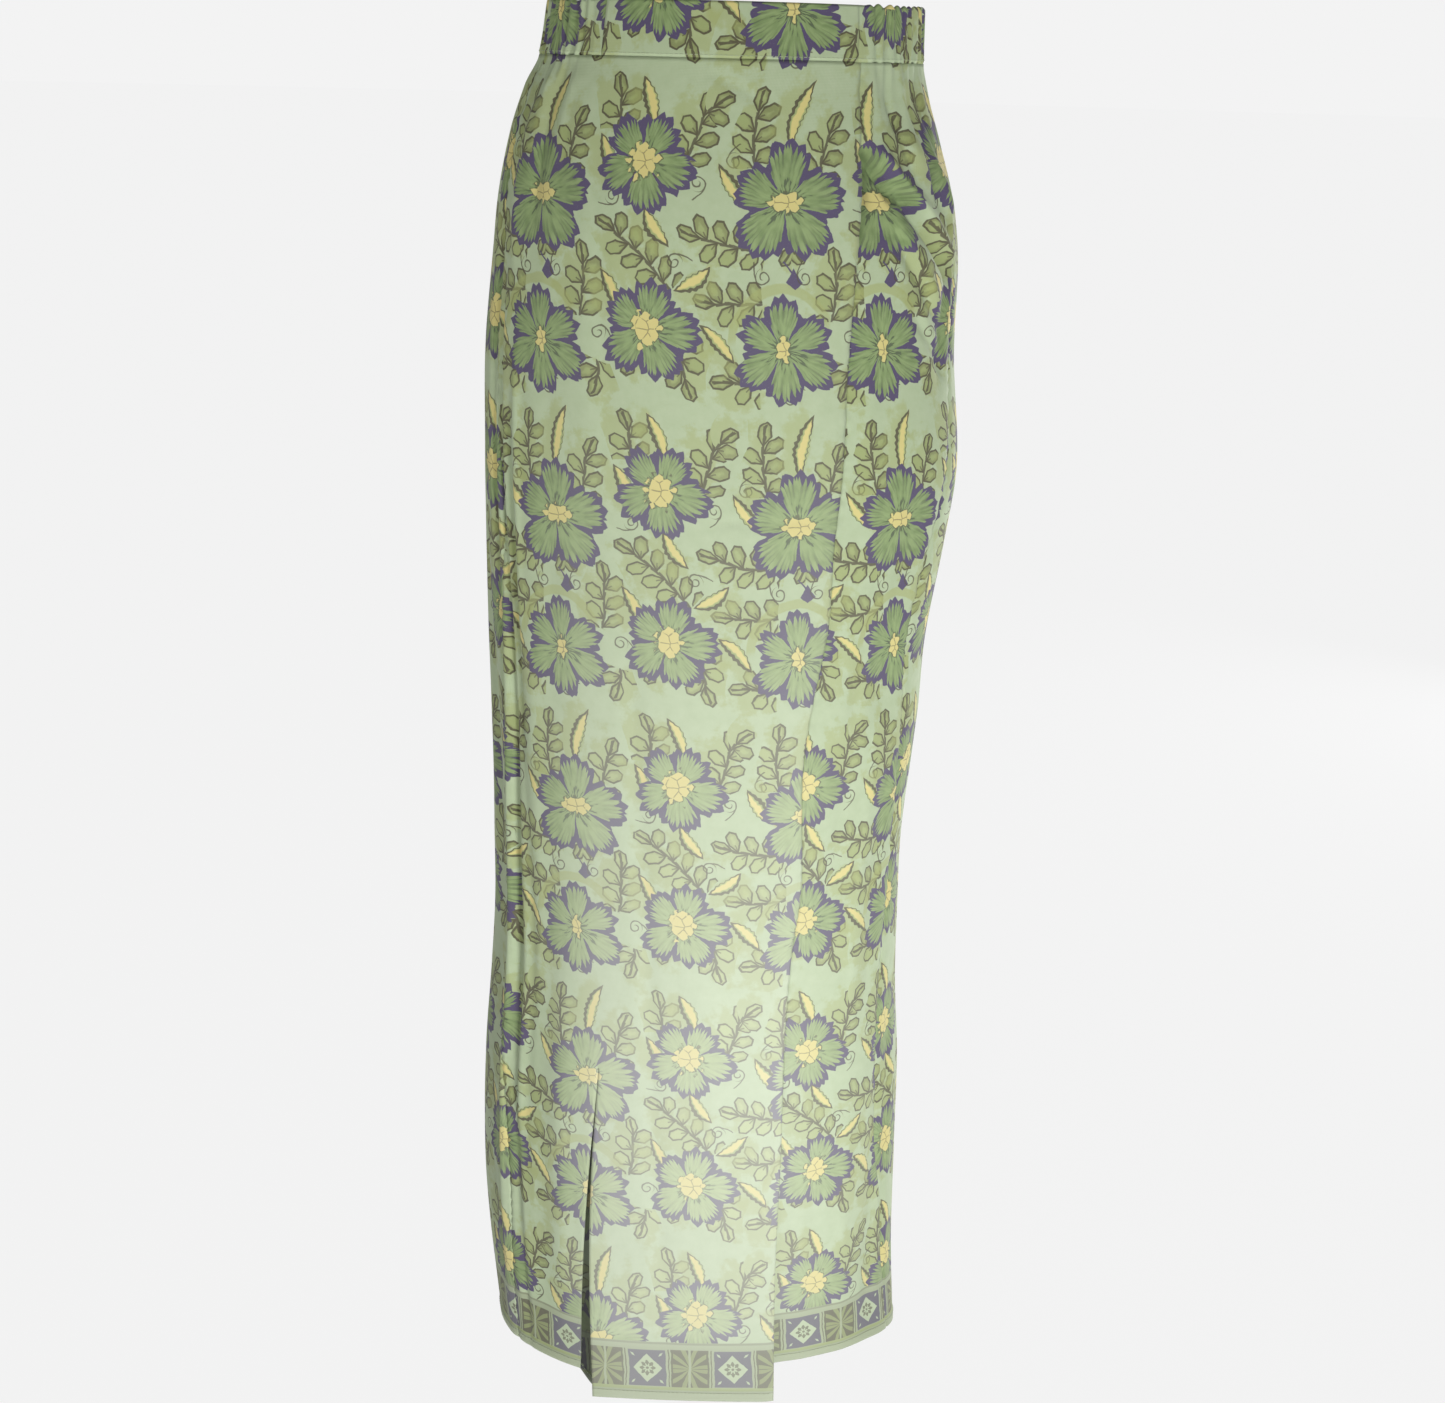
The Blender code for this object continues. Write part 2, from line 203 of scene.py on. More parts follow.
# %% Small creases
CREASES = table(Fold, """
37 0.048 47 0.088 0.0036 -0.009
42 0.046 60 0.098 0.0038 0.0034
44 0.07 74 0.142 0.0045 -0.0052
47 0.064 78 0.128 0.004 0.003
42 0.096 68 0.176 0.005 -0.0034
44 0.088 66 0.158 0.005 0.0022
50 0.15 72 0.205 0.0045 -0.0022
50 0.012 58 0.082 0.0035 -0.0022
60 0.008 68 0.098 0.004 -0.0026
66 0.02 76 0.12 0.004 0.0018
72 0.1 64 0.215 0.006 -0.0022
-46 0.01 -44 0.085 0.004 -0.0016
-56 0.006 -53 0.11 0.0045 -0.002
-66 0.01 -60 0.14 0.005 0.0016
27 0.285 -3 0.287 0.004 -0.0008
16 0.03 -6 0.006 0.004 -0.0008
12 0.02 20 0.24 0.01 0.0009
2 0.3 10 0.55 0.012 -0.0008
-2 0.56 6 0.8 0.012 0.0008
14 0.45 10 0.72 0.01 -0.0008
-34 0.05 -30 0.3 0.01 0.0009
-44 0.14 -42 0.46 0.009 -0.0011
-52 0.3 -50 0.7 0.008 0.0012
-58 0.24 -57 0.6 0.007 -0.0013
-63 0.24 -60 0.92 0.006 -0.0028
-67 0.3 -65 0.98 0.005 0.0018
-70 0.22 -69 0.6 0.004 -0.0022
-71 0.55 -68 0.93 0.004 -0.002
-60 0.44 -57 0.84 0.004 0.0015
-55 0.5 -52 0.88 0.005 -0.0016
-40 0.6 -37 0.94 0.007 0.001
-60 0.2 -58 0.5 0.0034 -0.0034
-56 0.15 -55 0.41 0.0034 0.002
-64 0.34 -62 0.7 0.0036 -0.0036
-60 0.57 -57 0.91 0.0034 -0.0034
-66 0.11 -63 0.44 0.0034 -0.0032
-68 0.42 -65 0.8 0.0034 0.0026
-57 0.73 -54 0.97 0.0034 -0.0026
-71 0.09 -69 0.36 0.0036 -0.0028
36 0.15 40 0.4 0.008 0.001
44 0.3 38 0.62 0.007 -0.0012
52 0.42 48 0.7 0.007 0.0012
60 0.45 56 0.66 0.006 -0.0014
38 0.62 34 0.93 0.008 -0.0012
48 0.7 45 0.96 0.007 0.0012
72 0.64 70 0.94 0.005 -0.0016
86 0.12 82 0.5 0.008 -0.0022
95 0.4 92 0.94 0.007 0.0024
104 0.03 108 0.19 0.005 -0.0024
120 0.08 124 0.48 0.009 -0.0026
130 0.5 127 0.97 0.007 -0.0023
138 0.05 134 0.24 0.006 0.0018
151 0.1 154 0.44 0.008 0.0021
160 0.52 158 0.95 0.006 -0.0026
166 0.3 186 0.345 0.005 -0.0016
182 0.06 180 0.38 0.009 -0.0024
190 0.46 188 0.97 0.008 0.0022
205 0.12 203 0.52 0.007 -0.0025
212 0.62 216 0.96 0.005 0.0018
222 0.4 226 0.94 0.008 -0.0023
236 0.1 240 0.42 0.009 0.0022
244 0.04 247 0.2 0.005 -0.0022
252 0.34 250 0.9 0.006 -0.0027
266 0.48 262 0.86 0.006 0.0017
275 0.2 278 0.62 0.007 -0.0022
""")
print("small creases:", len(CREASES))

# %% [markdown]
# ## The form of the cloth
#
# Each function takes whole grids of turns and drops at once, so that fine cloth is quick to work out.

# %% The form


def smooth(share):
    share = np.clip(share, 0.0, 1.0)
    return share * share * (3 - 2 * share)


def mix(a, b, share):
    return a + (b - a) * share


def read(table, key, name):
    """The value in column name of a table at key, on a smooth curve through the rows."""
    keys = np.array([row[0] for row in table], float)
    values = np.array([getattr(row, name) for row in table], float)
    wide_keys, wide_values = np.pad(keys, 1, "edge"), np.pad(values, 1, "edge")
    slopes = (wide_values[2:] - wide_values[:-2]) / (wide_keys[2:] - wide_keys[:-2])
    key = np.clip(key, keys[0], keys[-1])
    at = np.clip(np.searchsorted(keys, key, side="right") - 1, 0, len(keys) - 2)
    span = keys[at + 1] - keys[at]
    share = (key - keys[at]) / span
    steps = values[at + 1] - values[at]
    bend_in, bend_out = slopes[at] * span - steps, steps - slopes[at + 1] * span
    curve = share * (1 - share) * (bend_in * (1 - share) + bend_out * share)
    return mix(values[at], values[at + 1], share) + curve


def signed(turn):
    return (turn + 180) % 360 - 180


def tube(turn, drop):
    """Points on the plain tube, and the level directions that face out there."""
    turn, drop = np.broadcast_arrays(np.asarray(turn, float), np.asarray(drop, float))
    across, ahead = np.sin(np.radians(turn)), np.cos(np.radians(turn))
    width = np.where(across > 0, read(SECTIONS, drop, "right"), read(SECTIONS, drop, "left"))
    depth = np.where(ahead > 0, read(SECTIONS, drop, "front"), read(SECTIONS, drop, "back"))
    out = np.stack([across / width, -ahead / depth, 0 * across], -1)
    out /= np.linalg.norm(out, axis=-1, keepdims=True)
    return np.stack([width * across, -depth * ahead, WAIST_SEAM_Z - drop], -1), out


def fold_height(fold, turn, drop):
    along = (drop - fold.top_drop) / (fold.low_drop - fold.top_drop)
    away = signed(turn - mix(fold.top_turn, fold.low_turn, along))
    radius = (read(SECTIONS, drop, "left") + read(SECTIONS, drop, "front")) / 2
    distance = np.radians(away) * radius / fold.half_width
    ends = smooth(3 * along) * smooth(5 * (1 - along))
    return fold.height * np.exp(-distance * distance) * ends


def line_height(fold, turn, drop):
    """A short crease of any slant: its height falls off with the distance from a line drawn on the tube."""
    radius = read(SECTIONS, drop, "front") + 0.02
    reach = np.radians(fold.low_turn - fold.top_turn) * radius
    fall = fold.low_drop - fold.top_drop
    size = np.hypot(reach, fall)
    right = np.radians(signed(turn - fold.top_turn)) * radius
    down = drop - fold.top_drop
    along = (right * reach + down * fall) / size**2
    away = (right * fall - down * reach) / size / fold.half_width
    return fold.height * np.exp(-away * away) * smooth(4 * along) * smooth(4 * (1 - along))


def relief(turn, drop):
    """How far the worn cloth lies outside the plain tube."""
    ends = np.maximum(BAND_FRONT_LEFT - signed(turn), signed(turn) - BAND_FRONT_RIGHT)
    pull = smooth(ends / ELASTIC_EASE)
    waves = SOFT_FOLD_DEPTH * pull * smooth(drop / 0.02) * np.exp(-drop / SOFT_FOLD_FADE)
    lifted = waves * np.cos(np.radians(turn) * SOFT_FOLDS)
    fine = np.cos(np.radians(turn) * GATHERS * 1.29 + 1.7 * np.cos(np.radians(turn) * 7))
    lifted = lifted + 0.0007 * pull * np.exp(-drop / 0.022) * fine
    large = sum(fold_height(f, turn, drop) for f in FOLDS)
    return lifted + large + sum(line_height(f, turn, drop) for f in CREASES)


def cloth(turn, drop, inset=0.0):
    point, out = tube(turn, drop)
    return point + out * (relief(turn, drop) - inset)[..., None], out


def flap(turn, drop):
    """The same on the flap, which leaves the tube at the slit tops and is nearly flat at the hem."""
    slit_top = mix(LEFT_SLIT_TOP, RIGHT_SLIT_TOP, smooth((turn + 28) / 52))
    share = np.clip((drop - slit_top) / (SKIRT_LENGTH - slit_top), 0, None)
    point, out = cloth(turn, drop)
    flat_y = -read(SECTIONS, drop, "front") - FLAP_PROUD * share
    flat_y = flat_y + FLAP_CURVE * (point[..., 0] / FLAP_HALF_WIDTH) ** 2 + relief(turn, drop) * -0.6
    point[..., 1] = mix(point[..., 1], flat_y, share**1.3)
    point[..., 2] -= (FLAP_LENGTH - SKIRT_LENGTH) * share * share
    out = out * (1 - share[..., None]) + np.array([0, -1, 0]) * share[..., None]
    return point, out / np.linalg.norm(out, axis=-1, keepdims=True)


def hem_drop(turn, drop):
    """The drop of a place where the hem isn't level."""
    lower = np.clip((drop - RIGHT_SLIT_TOP) / (SKIRT_LENGTH - RIGHT_SLIT_TOP), 0, None)
    return drop + lower * (read(HEM, signed(turn), "drop") - SKIRT_LENGTH)


print("front at the hips:", cloth(np.array([0.0]), np.array([0.2]))[0].round(4))

# %% [markdown]
# ## Where the print lies
#
# The skirt is cut from printed cloth, so each piece knows where its grain runs. On the worn skirt the front's
# grain line drifts a little across as it goes down. A place's print coordinates are its length of cloth across
# from that line, and its drop from the waist seam. The border stays level with the hem.

# %% Print coordinates
Grain = namedtuple("Grain", "drop turn")
FRONT_GRAIN = table(Grain, """
0 -21
0.0628 -19.7
0.1645 -16.5
0.2648 -12.6
0.3715 -10
0.4742 -7.2
0.5802 -5.4
0.6793 -3
0.7742 -1.5
0.8857 0.8
0.96 2.4
""")
SIDE_GRAIN = table(Grain, """
0 38
0.082 40.7
0.166 42
0.28 48
0.378 57
0.49 68
0.667 74
0.78 78
0.86 78.5
0.95 79
""")
SIDE_START = 0.255  # print length at the side front panel's grain line
BACK_START = 0.730  # and at the middle of the back
GATHERED_ABOVE = 0.2  # the back is cut straight: above this drop its extra width is gathered in
ROUND = np.arange(-180.0, 541.0, 0.5)


def lengths(turn, drop, from_turn):
    """The length of cloth round the tube from one turn to another, for rows of one drop each."""
    out = np.zeros(turn.shape)
    for row in range(turn.shape[0]):
        across, ahead = np.sin(np.radians(ROUND)), np.cos(np.radians(ROUND))
        at = drop[row]
        width = np.where(across > 0, read(SECTIONS, at, "right"), read(SECTIONS, at, "left"))
        depth = np.where(ahead > 0, read(SECTIONS, at, "front"), read(SECTIONS, at, "back"))
        steps = np.hypot(np.diff(width * across), np.diff(depth * ahead))
        sums = np.concatenate([[0], np.cumsum(steps)])
        out[row] = np.interp(turn[row], ROUND, sums) - np.interp(from_turn[row], ROUND, sums)
    return out


def front_print(turn, drops):
    return lengths(turn, drops, read(FRONT_GRAIN, drops, "turn"))


def side_print(turn, drops):
    return SIDE_START + lengths(turn, drops, read(SIDE_GRAIN, drops, "turn"))


def back_print(turn, drops):
    return BACK_START + lengths(turn, np.maximum(drops, GATHERED_ABOVE), np.full(len(drops), 180.0))


print("front print at the seam, hips: %.4f" % front_print(np.array([[30.0]]), np.array([0.2]))[0, 0])

# %% [markdown]
# ## Sewing a piece
#
# A piece of cloth is a fine grid with its print coordinates. Its wall is made by going a cloth's thickness
# inward, with the wrong side of the cloth inside.

# %% Grids to cloth


class Grid:
    """Rows of points with their print coordinates."""

    def __init__(self, points, across, down):
        self.points, self.across, self.down = points, across, down


def sew(name, grids, materials, thickness, weld=2e-5):
    form = bmesh.new()
    uv = form.loops.layers.uv.new("cloth")
    for grid in grids:
        rows, columns = grid.points.shape[:2]
        verts = [[form.verts.new(p) for p in row] for row in grid.points]
        for r in range(rows - 1):
            for c in range(columns - 1):
                corners = (r, c), (r + 1, c), (r + 1, c + 1), (r, c + 1)
                face = form.faces.new([verts[i][j] for i, j in corners])
                for loop, (i, j) in zip(face.loops, corners):
                    loop[uv].uv = grid.across[i, j], grid.down[i, j]
    if len(grids) > 1:
        edge = [v for v in form.verts if v.is_boundary]
        bmesh.ops.remove_doubles(form, verts=edge, dist=weld)
    mesh = bpy.data.meshes.new(name)
    form.to_mesh(mesh)
    form.free()
    mesh.shade_smooth()
    for material in materials:
        mesh.materials.append(material)
    piece = put_in_scene(name, mesh)
    wall = piece.modifiers.new("wall", "SOLIDIFY")
    wall.thickness, wall.offset = thickness, -1
    wall.use_quality_normals = True
    wall.material_offset = 1
    wall.material_offset_rim = 1
    return piece


def turns_between(first, last, steps):
    """Turns across a piece, a row for each drop, from its first line to its last."""
    return first[:, None] + (last - first)[:, None] * np.linspace(0, 1, steps + 1)[None, :]


def rows_between(top, bottom, step, *also):
    """Drops from top to bottom that also hit the given ones."""
    stops = sorted({top, bottom, *[a for a in also if top < a < bottom]})
    rows = [top]
    for low, high in zip(stops, stops[1:]):
        rows += list(np.linspace(low, high, max(2, round((high - low) / step) + 1))[1:])
    return np.array(rows)


def seam_dip(turn, drop, *seams):
    """Cloth dips into a seam, and puckers a little beside it."""
    dip = 0.0
    for line, depth in seams:
        radius = read(SECTIONS, drop, "front") + 0.02
        away = np.abs(np.radians(signed(turn - line))) * radius
        pucker = 1 + 0.5 * np.sin(drop * 640 + 3 * np.sin(drop * 97)) * np.exp(-away / 0.006)
        dip = dip + depth * np.exp(-((away / 0.0035) ** 2)) * pucker
    return dip


def hem_step(drop_left):
    """The turned-up hem is doubled, so it stands out a little."""
    return 0.0005 * smooth((HEM_FOLD - drop_left) / HEM_EDGE + 0.5)


def hem_drops(end):
    """Drops that a panel's rows must hit for a crisp hem: its upper edge, and its row of stitches."""
    return end - HEM_FOLD - HEM_EDGE / 2, end - HEM_FOLD + HEM_EDGE / 2, end - HEM_STITCHES


def stitch_row(drops, end):
    """The row of a panel that the hem's stitches follow."""
    return np.argmin(abs(drops - (end - HEM_STITCHES)))


SEWN = {}  # for each piece, the rows of points that its stitches follow, and the directions out there


def keep_row(name, point, out, row):
    SEWN.setdefault(name, []).append((point[row], out[row]))


# %% [markdown]
# ## Maths for the materials
#
# A print is drawn with maths on its coordinates in millimetres. A small class lets that maths be written
# plainly: each operator adds the node that does it.

# %% Wires


class Wire:
    """A value in a material: a number, a place or a colour."""

    tree = None  # the material's nodes that new ones join

    def __init__(self, socket):
        self.socket = socket

    @property
    def many(self):
        return self.socket.type in ("VECTOR", "RGBA")

    @classmethod
    def make(cls, kind, settings=(), output=0, **inputs):
        """Any node: its type, its settings, then its sockets by position as in_0, in_1 and so on."""
        node = cls.tree.nodes.new("ShaderNode" + kind)
        for name, value in dict(settings).items():
            setattr(node, name, value)
        for key, value in inputs.items():
            socket = node.inputs[int(key[3:])]
            if isinstance(value, Wire):
                cls.tree.links.new(value.socket, socket)
            elif value is not None:
                socket.default_value = value
        return cls(node.outputs[output])

    @classmethod
    def maths(cls, operation, *values):
        many = any(isinstance(v, Wire) and v.many or isinstance(v, tuple) for v in values)
        if not many:
            return cls.make("Math", {"operation": operation}, **{f"in_{i}": v for i, v in enumerate(values)})
        spread = [v if isinstance(v, (Wire, tuple)) else (v, v, v) for v in values]
        return cls.make("VectorMath", {"operation": operation}, **{f"in_{i}": v for i, v in enumerate(spread)})

    def __lt__(self, other):
        return self.maths("LESS_THAN", self, other)

    def __gt__(self, other):
        return self.maths("GREATER_THAN", self, other)

    def __abs__(self):
        return self.maths("ABSOLUTE", self)

    def least(self, other):
        return self.maths("MINIMUM", self, other)

    def most(self, other):
        return self.maths("MAXIMUM", self, other)

    def part(self, name):
        return self.make("SeparateXYZ", output="XYZ".index(name), in_0=self)

    def dot(self, other):
        return self.make("VectorMath", {"operation": "DOT_PRODUCT"}, output=1, in_0=self, in_1=other)

    def size(self):
        return self.make("VectorMath", {"operation": "LENGTH"}, output=1, in_0=self)

    def rise(self, start, end):
        """0 before start, 1 beyond end, and smooth between."""
        settings = {"interpolation_type": "SMOOTHSTEP"}
        return self.make("MapRange", settings, in_0=self, in_1=start, in_2=end, in_3=0.0, in_4=1.0)

    def pick(self, other, share):
        """This value where share is 0, the other where it is 1."""
        if self.many:
            return self.make("Mix", {"data_type": "VECTOR"}, output=1, in_0=share, in_4=self, in_5=other)
        return self.make("Mix", {"data_type": "FLOAT"}, in_0=share, in_2=self, in_3=other)

    def paint(self, colour, share):
        """This colour, with another one painted over it where share is 1."""
        return self.make("Mix", {"data_type": "RGBA"}, output=2, in_0=share, in_6=self, in_7=colour)


def both_ways(operation):
    """An operator's plain form and its reflected form, for when the number stands first, as in 1 - mask."""
    return lambda one, other: Wire.maths(operation, one, other), lambda one, other: Wire.maths(operation, other, one)


Wire.__add__, Wire.__radd__ = both_ways("ADD")
Wire.__sub__, Wire.__rsub__ = both_ways("SUBTRACT")
Wire.__mul__, Wire.__rmul__ = both_ways("MULTIPLY")
Wire.__truediv__, Wire.__rtruediv__ = both_ways("DIVIDE")


def blend(first, second, share):
    """Two plain colours: the first where share is 0, the second where it is 1."""
    return Wire.make("Mix", {"data_type": "RGBA"}, output=2, in_0=share, in_6=first, in_7=second)


def place(x, y, z=0.0):
    return Wire.make("CombineXYZ", in_0=x, in_1=y, in_2=z)


def noise(at, scale, detail=2.0, rough=0.5, output=0):
    return Wire.make("TexNoise", output=output, in_0=at, in_2=scale, in_3=detail, in_4=rough)


def curve(value, points):
    """A value read off a curve through given (value, height) points."""
    wire = Wire.make("FloatCurve", in_0=1.0, in_1=value)
    line = wire.socket.node.mapping.curves[0]
    for x, y in points[2:]:
        line.points.new(x, y)
    for point, spot in zip(line.points, sorted(points)):
        point.location = spot
        point.handle_type = "VECTOR"
    wire.socket.node.mapping.update()
    return wire


def srgb(red, green, blue):
    """A colour as a screen shows it, from 0 to 255, as the light it stands for."""
    def light(v):
        v /= 255
        return v / 12.92 if v <= 0.04045 else ((v + 0.055) / 1.055) ** 2.4

    return light(red), light(green), light(blue), 1.0


print("a middle grey is", round(srgb(128, 128, 128)[0], 3))

# %% [markdown]
# ## The dyes
#
# Batik is dyed cotton. Wax keeps each dye off what came before it, so the colours are few and flat, with
# soft edges and small faults: a mint ground, olive shadows round the leaves, tan leaves with a
# grey-brown line, purple and green flowers, and pale yellow pods and hearts.

# %% Dyes
MINT = srgb(164, 180, 143)
MINT_PALE = srgb(181, 195, 163)
OLIVE = srgb(158, 166, 104)
LEAF = srgb(134, 142, 95)
LEAF_PALE = srgb(154, 166, 112)
LINE = srgb(82, 75, 62)
PURPLE = srgb(86, 77, 106)
PETAL = srgb(116, 137, 90)
PETAL_PALE = srgb(140, 160, 110)
PETAL_DARK = srgb(80, 88, 74)
YELLOW = srgb(208, 197, 130)
GREY_GREEN = srgb(158, 168, 138)
# The next two colours are painted light, not dyes: they draw the lower middle of the front paler, as where light
# falls strongest.
PAINTED_LIGHT_PALE = srgb(228, 231, 222)
GREEN_PAINTED_LIGHT = srgb(206, 218, 166)
print("a dye as light:", [round(v, 3) for v in PURPLE[:3]])

# %% [markdown]
# ## The repeat of the print
#
# The whole design repeats every 165 mm across and 205.5 mm down. In one repeat there are four flowers,
# a dozen leafy sprigs, eight pods and some tendrils, charted here in millimetres: x is across and y is
# down. A flower has so many like petals of one size, and its first notch is turned so many degrees clockwise
# from the right.

# %% Chart
REPEAT = 165.0, 205.5
MM = 1000.0  # millimetres in a metre

Flower = namedtuple("Flower", "name x y petals size first_notch heart")
FLOWERS = (
    Flower("great", -75.0, 84.0, 5, 37.0, 20, (14, 8)),
    Flower("small", 0.0, 61.5, 5, 31.0, 50, (13, 14)),
    Flower("broad", -78.0, 175.5, 6, 34.0, 0, (5, 10)),
    Flower("tall", 0.0, 164.0, 5, 32.0, 35, (12, 14)),
)

# A sprig or pod runs from its foot to its tip, and bends to one side or the other (1 or -1).
Sprig = namedtuple("Sprig", "foot_x foot_y tip_x tip_y bend")
SPRIGS = table(Sprig, """
-53 68 -43 32 1
-18 42 -20 12 -1
27 62 38 22 -1
38 33 52 22 1
70 64 72 18 1
76 113 24 103 1
16 139 -30 98 -1
-45 157 -43 114 -1
73 146 32 145 1
22 172 26 206 -1
70 199 41 196 -1
-34 186 -40 206 1
-14 176 -15 192 1
-70 106 -76 121 1
92 108 100 120 -1
""")
Pod = namedtuple("Pod", "foot_x foot_y tip_x tip_y bend")
PODS = table(Pod, """
-3 12 7 39 1
-28 47 -19 74 1
0 90 15 113 -1
66 90 47 64 1
-28 128 -17 154 1
20 140 42 126 -1
35 160 55 182 1
102 12 90 52 -1
""")
Tendril = namedtuple("Tendril", "x y turned")
TENDRILS = table(Tendril, """
57 60 20
35 74 200
-20 84 250
20 121 90
75 130 330
-63 130 0
-33 168 120
90 206 60
""")
print("motifs in one repeat:", len(FLOWERS) + len(SPRIGS) + len(PODS) + len(TENDRILS))

# %% [markdown]
# ## Drawing the motifs
#
# For any spot of cloth, the nearest sprig, pod, tendril and flower are found, each in its own coordinates,
# and then one drawing of each kind is enough. A little noise bends every line, as a hand does.

# %% Motifs


def nearest(spot, rows):
    """The nearest of some motifs, as a place in its own coordinates, and how far off it is (1 at its edge).

    A row is x, y, direction in degrees, half length, half width and a fact kept in the place's z.
    """
    best, near = None, None
    across, down = REPEAT
    for x, y, heading, long, wide, fact in rows:
        low, high = (x - across / 2, y - down / 2, fact), (x + across / 2, y + down / 2, fact)
        inside = Wire.make("VectorMath", {"operation": "WRAP"}, in_0=spot, in_1=high, in_2=low)
        turned = (0.0, 0.0, math.radians(heading))
        own = Wire.make("Mapping", {"vector_type": "TEXTURE"}, in_0=inside, in_1=(x, y, 0.0), in_2=turned)
        away = (own * (1 / long, 1 / wide, 0.0)).size()
        if best is None:
            best, near = own, away
        else:
            best = best.pick(own, away < near)
            near = near.least(away)
    return best, near


def stem_rows(stems, wide, past):
    """Rows for sprigs or pods: their middles are at x = 0, and z keeps their half length and bend."""
    rows = []
    for stem in stems:
        reach = stem.tip_x - stem.foot_x, stem.tip_y - stem.foot_y
        half = math.hypot(*reach) / 2
        heading = math.degrees(math.atan2(reach[1], reach[0]))
        x, y = stem.foot_x + reach[0] / 2, stem.foot_y + reach[1] / 2
        rows.append((x, y, heading, half + past, wide, half * stem.bend))
    return rows


def polar(own):
    """The distance from a motif's middle, and the share of a whole turn, clockwise from the right."""
    turn = Wire.maths("ARCTAN2", own.part("Y"), own.part("X"))
    return (own * (1.0, 1.0, 0.0)).size(), Wire.maths("FRACT", turn / (2 * math.pi))


def line(edge, middle, half):
    """1 on a drawn line, where edge is within half of middle."""
    return abs(edge - middle).rise(half + 0.2, half - 0.2)


LEAF_PITCH = 12.8
LEAF_FOOT = 0.13  # share of a pitch before the leaf's foot
LEAF_TILT = math.radians(57)


def leaf(along, off):
    """Below 0 inside a leaf 16 mm long and 9 mm wide, with its foot at 0 and a blunt tip."""
    at = place(along, abs(off), 1.0)
    sides = at.dot((-0.56, 0.83, -0.3)).most(at.dot((0.1, 0.99, -5.4)))
    return sides.most(at.dot((0.84, 0.54, -13.4)))


def draw_sprigs(colour, spot, mottle, painted_light):
    own, near = nearest(spot, stem_rows(SPRIGS, 15.0, 9.0))
    fact, x = own.part("Z"), own.part("X")
    half, along_all = abs(fact), x / fact
    y = own.part("Y") + (1.0 - along_all * along_all) * fact * 0.1
    halo = (near + mottle * 1.6 + y * 0.03).rise(0.80, 0.42)
    colour = colour.paint(OLIVE, halo * 0.52)
    from_tip = x - half + 13.0
    step = from_tip / LEAF_PITCH + (y > 0.0) * 0.45
    along = (Wire.maths("FRACT", step) - LEAF_FOOT) * LEAF_PITCH
    foot = from_tip - along
    off = abs(y) - 0.2
    lengthwise = along * math.cos(LEAF_TILT) + off * math.sin(LEAF_TILT)
    sideways = off * math.cos(LEAF_TILT) - along * math.sin(LEAF_TILT)
    missing = (foot > 1.0).most(from_tip + half * 2 < 12.0)
    edge = (leaf(lengthwise, sideways) + missing * 20.0).least(leaf(from_tip, y))
    colour = colour.paint(LEAF, edge.rise(0.3, -0.3))
    colour = colour.paint(LEAF_PALE, (edge + mottle * 6.0 + y * 0.12).rise(-1.0, -3.2) * 0.9)
    # Painted light: the leaves drawn paler low on the middle of the front.
    colour = colour.paint(GREEN_PAINTED_LIGHT, edge.rise(0.0, -0.3) * painted_light)
    vein = abs(sideways).most(abs(lengthwise - 2.6) - 2.6)
    stalk = abs(y).most(abs(from_tip + half - 13.0) - half) - abs(along) * 0.07
    drawn = line(edge, -0.5, 0.6 + mottle * 0.6).most((vein + missing).rise(0.7, 0.2) * 0.8)
    return colour.paint(LINE, drawn.most(stalk.rise(0.9, 0.3)) * 0.88)


def draw_pods(colour, spot, mottle):
    own, near = nearest(spot, stem_rows(PODS, 8.0, 4.0))
    colour = colour.paint(OLIVE, (near + mottle * 1.2 - own.part("Y") * 0.07).rise(1.0, 0.6) * 0.5)
    x, fact = own.part("X"), own.part("Z")
    along = x / fact
    swell = 1.0 - along * along
    bent = own.part("Y") + (swell - 0.6) * fact * 0.13
    wide = swell * 3.5 + Wire.maths("PINGPONG", x, 2.2) * 0.5 * swell + 0.2
    edge = abs(bent) - wide
    colour = colour.paint(LEAF_PALE, edge.rise(0.3, -0.3))
    colour = colour.paint(YELLOW, (abs(bent + 0.5) - wide * 0.55 + mottle * 2.0).rise(0.5, -0.6))
    drawn = line(edge, -0.2, 0.7 + bent * 0.12)
    return colour.paint(LINE, drawn * 0.9)


TENDRIL_PITCH = 3.2


def draw_tendrils(colour, spot):
    """A curl of one turn, whose thin stalk leaves it sideways."""
    rows = [(t.x, t.y, t.turned, 9.5, 9.5, 0.0) for t in TENDRILS]
    own, _ = nearest(spot, rows)
    far, around = polar(own)
    away = (0.5 - abs(Wire.maths("FRACT", far / TENDRIL_PITCH - around) - 0.5)) * TENDRIL_PITCH
    curl = away.rise(0.65, 0.3) * abs(far - 3.3).rise(2.1, 1.8)
    x, y = own.part("X"), own.part("Y")
    stalk = abs(x - y * y * 0.035 + 4.8).rise(0.65, 0.3) * abs(y + 5.5).rise(6.0, 5.4)
    return colour.paint(LINE, curl.most(stalk) * 0.85)


CURVE_TOP = 50.0  # millimetres at the top of a flower's curves
PURPLE_RIM = 5.2  # width of the purple round the green
PARTING = 4.6  # degrees over which the green parts at a notch


def petal_edge(flower, turn):
    """How far a flower's edge is from its middle: round petals between notches, and a little off round in all."""
    lobe = abs(math.sin(math.pi * (turn - flower.first_notch) / 360 * flower.petals))
    uneven = 1 + 0.07 * math.sin(math.radians(turn + 40)) + 0.05 * math.sin(math.radians(3 * turn + flower.size))
    return flower.size * (0.7 + 0.3 * lobe**0.6) * uneven


